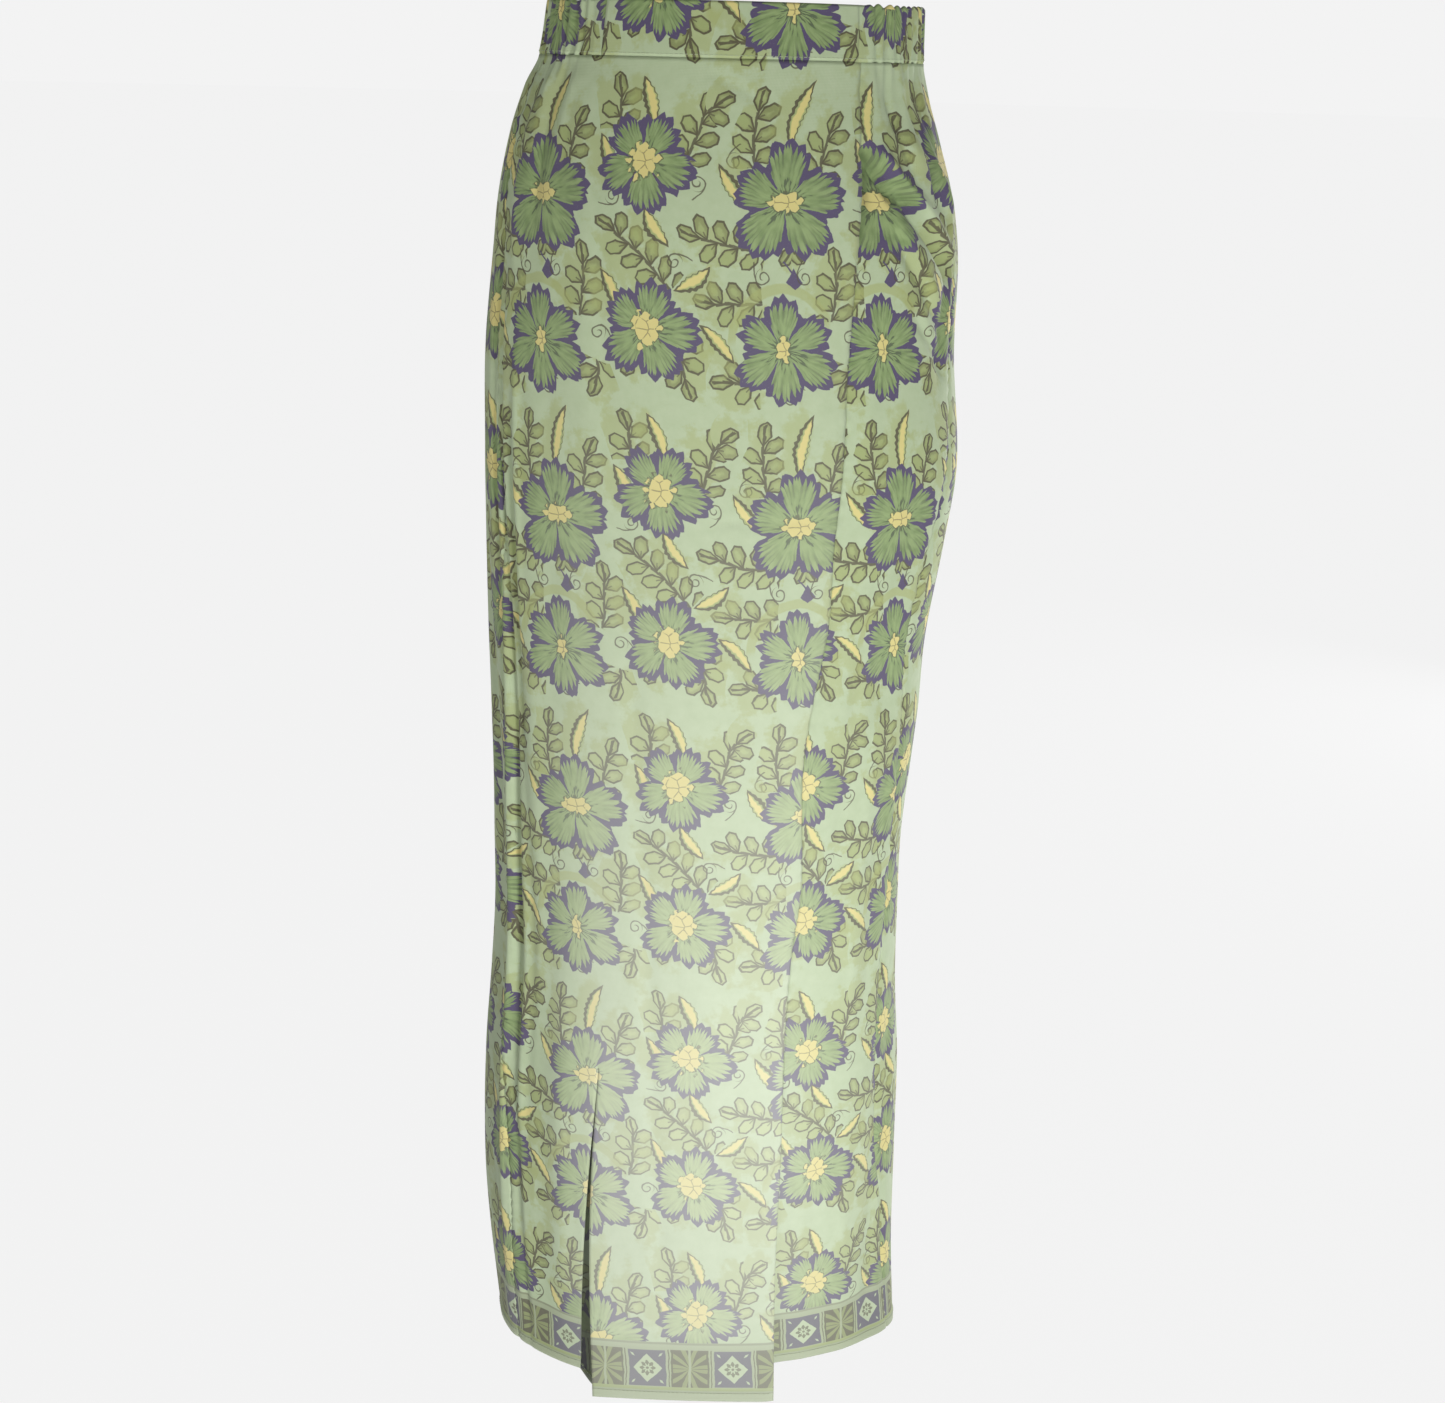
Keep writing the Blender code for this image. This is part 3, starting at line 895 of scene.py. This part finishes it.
def flower_curves(flower):
    """Curve points for a flower's outer edge and for the green inside it, which parts at each notch."""
    notches = [flower.first_notch + 360 * i / flower.petals for i in range(flower.petals)]
    outer = [(turn / 360, petal_edge(flower, turn) / CURVE_TOP) for turn in range(0, 361, 4)]
    inner = []
    for turn in range(0, 361, 3):
        parted = sum(math.exp(-((signed(turn - n) / PARTING) ** 2)) for n in notches)
        green = (petal_edge(flower, turn) - PURPLE_RIM) * (1 - 0.7 * min(parted, 1.0))
        inner.append((turn / 360, green / CURVE_TOP))
    return outer, inner


def jags(at):
    """A ragged line: the distance to the nearest of some scattered points, about one to each unit."""
    return Wire.make("TexVoronoi", {"voronoi_dimensions": "1D"}, in_1=at, in_2=1.0)


def draw_flowers(colour, spot, mottle, painted_light):
    rows = [(f.x, f.y, 0.0, f.size, f.size, i) for i, f in enumerate(FLOWERS)]
    own, _ = nearest(spot, rows)
    far, around = polar(own)
    kind = own.part("Z")
    chosen = [kind > 0.5, kind > 1.5, kind > 2.5]
    outer = inner = None
    for i, flower in enumerate(FLOWERS):
        edge, green = (curve(around, points) for points in flower_curves(flower))
        outer = edge if outer is None else outer.pick(edge, chosen[i - 1])
        inner = green if inner is None else inner.pick(green, chosen[i - 1])
    outer, inner = outer * CURVE_TOP, inner * CURVE_TOP
    spikes = jags(around * 28.0 + kind * 50.0)
    petal = outer - spikes * 7.0 + 2.4 + mottle * 3.0 - far
    colour = colour.paint(PURPLE, petal.rise(0.0, 0.7))
    teeth = jags(around * 74.0 + kind * 100.0)
    edge = inner - teeth * 8.5 + 2.8 - far + mottle * 3.0
    streaks = noise(place(around * 44.0, far * 0.11, kind), 1.0, 1.0)
    green = blend(PETAL, PETAL_PALE, streaks.rise(0.2, 0.75))
    share = far / inner
    rays = teeth.rise(0.26, 0.48) * share.rise(0.5, 0.95)
    # Painted light: the petals' green drawn paler low on the middle of the front.
    green = green.paint(PETAL_DARK, rays * 0.6).paint(GREEN_PAINTED_LIGHT, painted_light)
    colour = colour.paint(green, edge.rise(-0.3, 0.4))
    veins = (streaks + share * 0.5).rise(0.66, 0.58) * share.rise(0.75, 0.45)
    colour = colour.paint(PETAL_DARK, veins * 0.8)
    hearts = [(1 / f.heart[0] * 1.7, 1 / f.heart[1] * 1.7, 0.0) for f in FLOWERS]
    heart = Wire.make("Mix", {"data_type": "VECTOR"}, output=1, in_0=chosen[0], in_4=hearts[0], in_5=hearts[1])
    heart = heart.pick(hearts[2], chosen[1]).pick(hearts[3], chosen[2])
    cells = Wire.make("TexVoronoi", {"feature": "DISTANCE_TO_EDGE", "voronoi_dimensions": "2D"}, in_0=own, in_2=0.15)
    inside = (own * heart).size() + mottle * 1.4 - cells * 1.4
    colour = colour.paint(LINE, inside.rise(1.3, 1.1) * streaks.rise(0.45, 0.55) * 0.8)
    colour = colour.paint(YELLOW, inside.rise(1.0, 0.92))
    return colour.paint(LINE, (cells.rise(0.07, 0.03) * inside.rise(0.9, 0.7)) * 0.6)


def draw_small(colour, spot):
    """The olive crescent above the broad flower, and the purple drop over it with its stalk."""
    under, near = nearest(spot, [(-78.0, 178.0, 0.0, 35.0, 43.0, 0.0)])
    band = abs(near - 0.96).rise(0.09, 0.06) * (under.part("Y") + under.part("X") * 0.3).rise(-14.0, -20.0)
    colour = colour.paint(OLIVE, band * 0.6)
    drop, near = nearest(spot, [(-70.0, 132.0, 0.0, 12.0, 14.0, 0.0)])
    x, y = drop.part("X"), drop.part("Y")
    bead = (abs(x) * 0.8 - y * 0.5).most(abs(x) * 0.6 + y * 0.8).rise(4.2, 3.7)
    stalk = abs(x + y * y * 0.05).rise(0.9, 0.5) * abs(y + 7.0).rise(6.0, 5.0)
    return colour.paint(PURPLE, bead.most(stalk) * near.rise(1.0, 0.99))


BORDER_TOP = 45.0
SQUARE_PITCH, SQUARE_START = 64.5, 26.0
SQUARE_MIDDLE = 24.5  # above the hem


def draw_border(colour, across, up):
    share = Wire.maths("FRACT", (across - SQUARE_START) / SQUARE_PITCH + 0.5)
    x = abs(share - 0.5) * SQUARE_PITCH
    y = abs(up - SQUARE_MIDDLE)
    from_stem = SQUARE_PITCH / 2 - x
    turn = Wire.maths("ARCTAN2", y, from_stem)
    out = place(from_stem, y).size()
    rays = Wire.maths("COSINE", turn * 11.0 + out * 0.12)
    square, lozenge, far = x.most(y), x + y, place(x, y).size()
    spin = Wire.maths("COSINE", Wire.maths("ARCTAN2", y, x) * 8.0)
    dots = (abs(far - 3.9) - 1.2 - spin * 1.0).rise(0.2, -0.2).most(far.rise(1.2, 0.8))
    dash = abs(lozenge - 21.0) * 0.45 + abs(x - y) * 1.1
    field = blend(LEAF, LINE, (rays - 0.9 + out * 0.085).rise(-0.15, 0.15))
    for dye, share in (
        (GREY_GREEN, from_stem.rise(1.1, 0.7)),
        (LINE, line(x, 19.0, 0.6)),
        (GREY_GREEN, x.rise(18.4, 17.8)),
        (LINE, line(square, 16.4, 0.4)),
        (PURPLE, square.rise(14.3, 13.8)),
        (MINT_PALE, lozenge.rise(11.3, 10.8)),
        (LINE, dots * 0.85),
        (MINT_PALE, dash.rise(1.6, 1.2)),
        (GREY_GREEN, up.rise(39.0, 39.4)),
        (LINE, line(up, 44.0, 0.8) * 0.45),
        (LEAF_PALE, up.rise(10.2, 9.8)),
        (GREY_GREEN, up.rise(8.0, 7.4)),
        (LINE, line(up, 6.4, 0.3) * 0.5),
        (GREY_GREEN, 0.2),
    ):
        field = field.paint(dye, share)
    return colour.paint(field, up.rise(BORDER_TOP + 0.2, BORDER_TOP - 0.2))


# %% [markdown]
# ## The batik cotton
#
# The right side has the full print. Batik dye soaks through, so the wrong side has the same print, paler.
# A plain weave gives the surface its fine bump, and worn cotton is a little uneven in its shine.

# %% Batik cotton


def painted_light_share(across, down):
    """Painted light: how much paler the print is drawn, as where light falls strongest: most low on the middle of
    the front.
    """
    front_points = (0.0, 0.0), (0.05, 0.1), (0.1, 1.0), (0.24, 1.0), (0.3, 0.5), (0.36, 0.2), (1.0, 0.15)
    down_points = (0.0, 0.0), (0.2, 0.04), (0.5, 0.22), (0.7, 0.32), (0.9, 0.32), (0.915, 0.2), (1.0, 0.2)
    return curve(across / 1200 + 0.15, front_points) * curve(down / MM, down_points)


def start_material(name):
    """A new material that takes the next nodes, with its shader and a way to feed that."""
    material = bpy.data.materials.new(name)
    material.use_nodes = True
    Wire.tree = material.node_tree
    shader = material.node_tree.nodes["Principled BSDF"]

    def feed(socket, wire):
        material.node_tree.links.new(wire.socket, shader.inputs[socket])

    return material, shader, feed


def set_even(shader, values):
    """Values that are the same all over a surface, each on its own socket."""
    for socket, value in values.items():
        shader.inputs[socket].default_value = value


def batik(name, dye, painted_shade_scale=1.0):
    """Printed cotton. dye is how much of the print shows: 1 on the right side. The last number, below 1, darkens all
    the colour as painted shade.
    """
    material, shader, feed = start_material(name)
    flat = Wire.make("UVMap", {"uv_map": "cloth"}) * (MM, MM, 0.0)
    drift = noise(flat, 0.045, 4.0, 0.6, output=1)
    spot = flat + (drift - (0.5, 0.5, 0.5)) * (5.0, 5.0, 0.0)
    mottle = noise(flat, 0.11, 3.0, 0.6) - 0.5
    colour = blend(MINT, MINT_PALE, mottle + 0.5)
    across, down = spot.part("X"), flat.part("Y")
    # Painted light: how much paler the print is drawn low on the middle of the front, as where light falls
    # strongest.
    painted_light = painted_light_share(across, down)
    colour = draw_sprigs(colour, spot, mottle, painted_light)
    colour = draw_small(colour, spot)
    colour = draw_tendrils(colour, spot)
    colour = draw_pods(colour, spot, mottle)
    colour = draw_flowers(colour, spot, mottle, painted_light)
    colour = draw_border(colour, across, SKIRT_LENGTH * MM - down)
    # Painted light over the whole print.
    colour = colour.paint(PAINTED_LIGHT_PALE, painted_light)
    if dye < 1:
        colour = colour.paint(MINT_PALE, 1 - dye)
    rubbed = noise(flat, 0.9, 2.0, 0.6)
    colour = colour.paint(MINT_PALE, rubbed.rise(0.6, 0.85) * 0.25)
    # Painted shade: below 1 the whole colour is darkened, for cloth that hangs in shade.
    if painted_shade_scale < 1:
        colour = colour * (painted_shade_scale, painted_shade_scale, painted_shade_scale)
    feed("Base Color", colour)
    feed("Roughness", noise(flat, 0.25, 2.0).rise(0.2, 0.8) * 0.12 + 0.78)
    yarns = (Wire.maths("SINE", flat.part("X") * 7.0) + Wire.maths("SINE", flat.part("Y") * 7.0)) * 0.25
    feed("Normal", Wire.make("Bump", in_0=0.25, in_1=0.0003, in_3=yarns + noise(flat, 0.5, 3.0, 0.6)))
    set_even(shader, {"Sheen Weight": 0.1, "Specular IOR Level": 0.25})
    return material


right_side = batik("batik cotton", 1.0)
wrong_side = batik("batik cotton, wrong side", 0.55)
print("nodes in the print:", len(right_side.node_tree.nodes))

# %% [markdown]
# ## The panels
#
# The front is one piece of cloth from the left side seam to the seam on the right. The left slit parts it
# below the knee, and the flap between the slits hangs a little in front. Its seams dip in and pucker, and its
# hem is turned up.

# %% Front panel
STEP = 0.0024
COTTON = [right_side, wrong_side]


def lift(point, out, height):
    return point + out * np.asarray(height)[..., None]


def front_panel():
    drops = rows_between(0.0, SKIRT_LENGTH, STEP, LEFT_SLIT_TOP, *hem_drops(SKIRT_LENGTH))
    left, slit, seam = (read(LINES, drops, name) for name in ("left_side", "slit", "seam"))
    parted = np.clip((drops - LEFT_SLIT_TOP) / (SKIRT_LENGTH - LEFT_SLIT_TOP), 0, 1)
    grids = []
    for first, last, form, width in (
        (left, slit - SLIT_PARTING * parted**1.6, cloth, 0.085),
        (slit, seam, flap, 0.160),
    ):
        turn = turns_between(first, last, round(width / STEP))
        drop = np.broadcast_to(drops[:, None], turn.shape)
        point, out = form(turn, drop)
        dip = seam_dip(turn, drop, (left[:, None], 0.0010), (seam[:, None], 0.0009))
        point = lift(point, out, hem_step(SKIRT_LENGTH - drop) - dip)
        keep_row("front", point, out, stitch_row(drops, SKIRT_LENGTH))
        grids.append(Grid(point, front_print(turn, drops), drop))
    return sew("front", grids, COTTON, CLOTH)


front = front_panel()
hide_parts("front_panel")
print("front:", len(front.data.polygons), "faces")

# %% [markdown]
# The side front panel is cut from the next repeat of the print, so its flowers don't meet those of the
# front. It runs on under the flap. A little below the waist it is sewn in with too much cloth, which sinks
# behind the seam as a short deep tuck and drags towards the hip.

# %% Side front panel
TUCK_DEPTH = 0.012
TUCK_REACH = 0.010
TUCK_DROPS = 0.046, 0.066, 0.118  # where it begins, is deepest and ends


def seam_tuck(turn, drop, seam):
    begins, deepest, ends = TUCK_DROPS
    tall = smooth((drop - begins) / (deepest - begins)) * smooth((ends - drop) / (ends - deepest))
    reach = TUCK_REACH * (0.4 + 0.9 * smooth((drop - begins) / 0.06))
    away = np.clip(np.radians(turn - seam) * 0.125, 0, None) / reach
    return TUCK_DEPTH * tall * np.exp(-away * away)


def side_front_panel():
    grids = []
    for top, under in ((0.0, False), (RIGHT_SLIT_TOP, True)):
        drops = rows_between(top, SKIRT_LENGTH, 0.0022, RIGHT_SLIT_TOP, *hem_drops(SKIRT_LENGTH))
        seam, side = read(LINES, drops, "seam"), read(LINES, drops, "right_side")
        tuck_side = seam - 4 * smooth((drops - 0.04) / 0.02) * smooth((0.13 - drops) / 0.03)
        turn = turns_between(seam - UNDERLAP, seam, 14) if under else turns_between(tuck_side, side, 64)
        drop = np.broadcast_to(drops[:, None], turn.shape)
        beside = 1 - smooth((turn - seam[:, None]) / TUCK_WIDTH)
        tucked = smooth((drop - RIGHT_SLIT_TOP) / TUCK_LENGTH + 1) * beside
        low = hem_drop(turn, drop)
        point, out = cloth(turn, low, UNDER_PANEL * tucked)
        dip = seam_dip(turn, drop, (seam[:, None], 0.0012), (side[:, None], 0.0010))
        sunk = dip * (drop < RIGHT_SLIT_TOP) + seam_tuck(turn, drop, seam[:, None])
        sunk = sunk + 0.0012 * smooth((seam[:, None] - turn) / 0.6) * (not under)
        point = lift(point, out, hem_step(SKIRT_LENGTH - drop) - sunk)
        keep_row("side_front", point, out, stitch_row(drops, SKIRT_LENGTH))
        grids.append(Grid(point, side_print(turn, drops), drop))
    return sew("side_front", grids, COTTON, CLOTH)


side_front = side_front_panel()
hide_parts("side_front_panel")
print("side front:", len(side_front.data.polygons), "faces")

# %% [markdown]
# The back is cut straight and gathered at the waist, so the print is crowded there. It is made in two
# halves, as its solid is.

# %% Back panel


def back_panel(name, first, last):
    drops = rows_between(0.0, SKIRT_LENGTH, 0.0030, *hem_drops(SKIRT_LENGTH))
    start, end = read(LINES, drops, "right_side"), read(LINES, drops, "left_side") % 360
    turn = turns_between(mix(start, end, first), mix(start, end, last), 115)
    drop = np.broadcast_to(drops[:, None], turn.shape)
    point, out = cloth(turn, hem_drop(turn, drop))
    dip = seam_dip(turn, drop, (start[:, None], 0.0010), (end[:, None], 0.0010))
    point = lift(point, out, hem_step(SKIRT_LENGTH - drop) - dip)
    keep_row(name, point, out, stitch_row(drops, SKIRT_LENGTH))
    return sew(name, [Grid(point, back_print(turn, drops), drop)], COTTON, CLOTH)


back_right = back_panel("back_right", 0, 0.5)
back_left = back_panel("back_left", 0.5, 1)
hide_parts("back_panel_right")
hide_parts("back_panel_left")
print("back:", len(back_right.data.polygons) + len(back_left.data.polygons), "faces")

# %% [markdown]
# A strip of the same cloth backs the left slit. It hangs in the shade of the flap, and that shade is painted
# into its colour: its cotton is drawn darker all over.

# %% Slit underlay
# Painted shade: a darker copy of the cotton for the strip in the flap's shade.
in_painted_shade = batik("batik cotton, unfaded", 1.0, 0.4)
PRINT_SHIFT = 0.012  # the strip's print is lower than that of the cloth in front


def slit_underlay():
    drops = rows_between(LEFT_SLIT_TOP - 0.02, UNDERLAY_LENGTH, 0.0028, *hem_drops(UNDERLAY_LENGTH))
    slit = read(LINES, drops, "slit")
    middle = slit - UNDERLAY_SHIFT
    turn = turns_between(middle - UNDERLAY_WIDTH / 2, middle + UNDERLAY_WIDTH / 2, 30)
    lowered = smooth((turn - slit[:, None] + SLIT_PARTING + UNDERLAY_SHIFT) / UNDERLAY_SLANT)
    end = mix(UNDERLAY_HIDDEN, UNDERLAY_LENGTH, lowered)
    below = np.clip((drops[:, None] - LEFT_SLIT_TOP) / (UNDERLAY_LENGTH - LEFT_SLIT_TOP), 0, 1)
    drop = drops[:, None] + (end - UNDERLAY_LENGTH) * below**3
    point, out = cloth(turn, drop, UNDER_PANEL)
    point = lift(point, out, hem_step(UNDERLAY_LENGTH - drops[:, None]))
    keep_row("underlay", point, out, stitch_row(drops, UNDERLAY_LENGTH))
    return sew("underlay", [Grid(point, front_print(turn, drops), drop - PRINT_SHIFT)], [in_painted_shade, in_painted_shade], CLOTH)


underlay = slit_underlay()
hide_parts("slit_underlay")
print("underlay:", len(underlay.data.polygons), "faces")

# %% [markdown]
# ## The waistband
#
# The band is a casing of the same cloth, doubled over. Its top is a fold, so it rounds over. Elastic inside
# pulls it into gathers from one front corner round the back to the other, no two alike.

# %% Waistband
BAND_ROWS = np.concatenate([np.linspace(0, 0.95, 16), np.linspace(0.955, 1, 6)])[::-1]  # finer near the fold
BAND_STITCHES = -2  # the row just above the seam


def band_profile(up):
    """How far the band's face lies in, near its folded top and its seam. up is 0 at the seam, 1 at the top."""
    top = np.clip((up - 0.955) / 0.045, 0, 1)
    seam = np.clip((0.05 - up) / 0.05, 0, 1)
    return -0.0011 * top**2 - 0.0008 * seam**2


def band_front():
    up = BAND_ROWS
    turn = np.broadcast_to(np.linspace(BAND_FRONT_LEFT, BAND_FRONT_RIGHT, 71)[None, :], (len(up), 71))
    drop = np.broadcast_to(-BAND_HEIGHT * up[:, None], turn.shape)
    point, out = tube(turn, drop)
    soft = 0.0004 * np.sin(np.radians(turn) * 9 + 1) * np.sin(math.pi * up[:, None])
    point = lift(point, out, BAND_PROUD + band_profile(up)[:, None] + soft)
    across = front_print(turn, 0 * up)
    keep_row("band_front", point, out, BAND_STITCHES)
    return sew("band_front", [Grid(point, across, drop)], COTTON, BAND_CLOTH)


def band_back():
    columns = GATHERS * 10
    up = BAND_ROWS
    share = np.broadcast_to(np.linspace(0, 1, columns + 1)[None, :], (len(up), columns + 1))
    turn = mix(BAND_FRONT_RIGHT, BAND_FRONT_LEFT % 360, share)
    drop = np.broadcast_to(-BAND_HEIGHT * up[:, None], turn.shape)
    point, out = tube(turn, drop)
    uneven = 1 - GATHER_UNEVENNESS * (1 - np.sin(share * 61))
    ends = smooth(share * 30) * smooth((1 - share) * 30)
    shifted = share + 0.0022 * np.sin(share * 83) + 0.0012 * np.sin(share * 201 + up[:, None] * 1.5)
    wave = np.sin(2 * math.pi * GATHERS * shifted)
    wave = np.abs(wave) ** 0.7 * np.sign(wave)
    height = BAND_PROUD + GATHER_DEPTH / 2 * uneven * ends * wave + band_profile(up)[:, None]
    point = lift(point, out, height)
    top = smooth((up[:, None] - 0.5) * 2)
    point[..., 2] += RAGGED_TOP * uneven * ends * top * np.cos(2 * math.pi * GATHERS * shifted)
    right = front_print(np.array([[BAND_FRONT_RIGHT]]), np.array([0.0]))[0, 0]
    across = right + 1.28 * lengths(turn, 0 * up, np.full(len(up), BAND_FRONT_RIGHT))
    keep_row("band_back", point, out, BAND_STITCHES)
    return sew("band_back", [Grid(point, across, drop)], COTTON, BAND_CLOTH)


band_front_piece, band_back_piece = band_front(), band_back()
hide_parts("waistband_front")
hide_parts("waistband_back")
print("band:", len(band_front_piece.data.polygons) + len(band_back_piece.data.polygons), "faces")

# %% [markdown]
# ## Stitches
#
# A machine sews the hem down, and the band just above its seam, with one row of stitches in thread that
# matches the cloth. Each stitch comes up through the cloth, lies along it and goes down again, so here it is
# a thin rounded bar whose ends sink in.

# %% Stitches
STITCH = 0.0024
STITCH_GAP = 0.0007
THREAD = 0.00019  # half its width
ALONG = np.array([0.0, 0.2, 0.5, 0.8, 1.0])  # shares of a stitch where its rings are
ABOVE = THREAD * np.array([-1.3, 0.5, 0.8, 0.5, -1.3])  # how far each ring's middle is above the cloth
SIDES = np.linspace(0, 2 * math.pi, 6)[:-1]  # angles round a ring


def spun_thread():
    material, shader, feed = start_material("sewing thread")
    at = Wire.make("TexCoord", output=3) * MM
    twist = Wire.maths("SINE", at.dot((9.0, 9.0, 9.0)))
    feed("Base Color", blend(GREY_GREEN, MINT_PALE, noise(at, 1.6, 3.0, 0.6)))
    feed("Normal", Wire.make("Bump", in_0=0.4, in_1=0.0001, in_3=twist))
    set_even(shader, {"Roughness": 0.7})
    return material


def along_row(rows, far, at):
    return np.stack([np.interp(at, far, rows[:, i]) for i in range(3)], -1)


def stitches(name, rows, thread):
    form = bmesh.new()
    for points, outs in rows:
        far = np.concatenate([[0], np.cumsum(np.linalg.norm(np.diff(points, axis=0), axis=1))])
        for start in np.arange(STITCH_GAP, far[-1] - STITCH, STITCH + STITCH_GAP):
            out = along_row(outs, far, start + STITCH * ALONG)
            middle = along_row(points, far, start + STITCH * ALONG) + out * ABOVE[:, None]
            side = np.cross(middle[-1] - middle[0], out[2])
            side /= np.linalg.norm(side)
            rings = [
                [form.verts.new(m + THREAD * (side * math.cos(a) + o * math.sin(a))) for a in SIDES]
                for m, o in zip(middle, out)
            ]
            for low, high in zip(rings, rings[1:]):
                for i in range(len(SIDES)):
                    form.faces.new((low[i - 1], low[i], high[i], high[i - 1]))
            form.faces.new(rings[0])
            form.faces.new(rings[-1][::-1])
    bmesh.ops.recalc_face_normals(form, faces=form.faces)
    mesh = bpy.data.meshes.new(name)
    form.to_mesh(mesh)
    form.free()
    mesh.shade_smooth()
    mesh.materials.append(thread)
    return put_in_scene(name, mesh)


thread = spun_thread()
rows_of_stitches = {name: stitches(name + "_stitches", rows, thread) for name, rows in SEWN.items()}
print("stitches:", sum(len(s.data.vertices) for s in rows_of_stitches.values()) // (len(ALONG) * len(SIDES)))

# %% [markdown]
# ## Riding
#
# Each piece rides on the part's only body. A table gives each sheet of cloth with its flat size.

# %% Ride
# Each piece with the rectangle that its cloth just fits in, its flat area in square metres, and how it is held
CUT = (
    (front, (0.260, 0.975), 0.235, "hung"),
    (side_front, (0.164, 0.973), 0.100, "hung"),
    (back_right, (0.286, 0.953), 0.246, "hung"),
    (back_left, (0.281, 0.953), 0.246, "hung"),
    (underlay, (0.071, 0.296), 0.0195, "hung"),
    (band_front_piece, (0.170, 0.036), 0.0061, "hung"),
    (band_back_piece, (0.673, 0.036), 0.0241, "gathered"),
)
for piece, flat_size, flat_area, held in CUT:
    sewn = rows_of_stitches[piece.name]
    for one in (piece, sewn):
        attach(one, "root")
    spots = np.zeros(len(piece.data.loops) * 2)
    piece.data.uv_layers["cloth"].data.foreach_get("uv", spots)
    print(piece.name, "spans %.3f by %.3f m of flat cloth" % tuple(np.ptp(spots.reshape(-1, 2), axis=0)))
print("pieces:", len(CUT))

# %% [markdown]
# ## Floor and light
#
# A plain pale floor and soft white light, as in a studio. One light is low in front, a little to the right,
# so the left side falls into shade. A warmer one reaches only the hips, and a third grazes the back.

# %% Floor and light
FLOOR_Z = -1.07
PAPER = srgb(243, 243, 243)[0]  # the plain background
SKY = 0.12  # light from all round
FLOOR_TONE = 0.02

floor_mesh = bpy.data.meshes.new("floor")
ring = [Vector((60 * math.cos(a), 60 * math.sin(a), FLOOR_Z)) for a in np.linspace(0, 2 * math.pi, 65)[:-1]]
floor_mesh.from_pydata(ring, [], [range(64)])
floor = put_in_scene("floor", floor_mesh)
pale, pale_shader, _ = start_material("pale floor")
set_even(pale_shader, {
    "Base Color": (FLOOR_TONE, FLOOR_TONE, FLOOR_TONE, 1),
    "Roughness": 1.0,
    "Specular IOR Level": 0.0,
    "Emission Color": (1, 1, 1, 1),
    "Emission Strength": PAPER - FLOOR_TONE * 0.6,
})
floor_mesh.materials.append(pale)

world = bpy.data.worlds.new("studio")
world.use_nodes = True
Wire.tree = world.node_tree
seen = Wire.make("LightPath")
background = world.node_tree.nodes["Background"]
background.inputs["Color"].default_value = (1, 1, 1, 1)
world.node_tree.links.new((seen * (PAPER - SKY) + SKY).socket, background.inputs["Strength"])
bpy.context.scene.world = world


def soft_light(name, at, aim, size, power, spread=180, tint=(1, 1, 1)):
    data = bpy.data.lights.new(name, "AREA")
    data.shape, data.size, data.energy = "DISK", size, power
    data.spread, data.color = math.radians(spread), tint
    lamp = put_in_scene(name, data)
    lamp.location = at
    lamp.rotation_mode = "QUATERNION"
    lamp.rotation_quaternion = (Vector(aim) - Vector(at)).to_track_quat("-Z", "Y")
    lamp.visible_camera = False


soft_light("key", (0.60, -1.60, -0.74), (0, 0, -0.72), 0.5, 4.9, 85)
soft_light("fill", (-1.0, -2.0, 0.45), (0, 0, 0.0), 0.5, 0.46, 45, (1, 0.98, 0.84))
soft_light("behind", (1.7, 2.0, -0.4), (0, 0, -0.5), 0.9, 40)
bpy.context.scene.view_settings.view_transform = "Standard"
print("lights: sky, key, fill and behind")
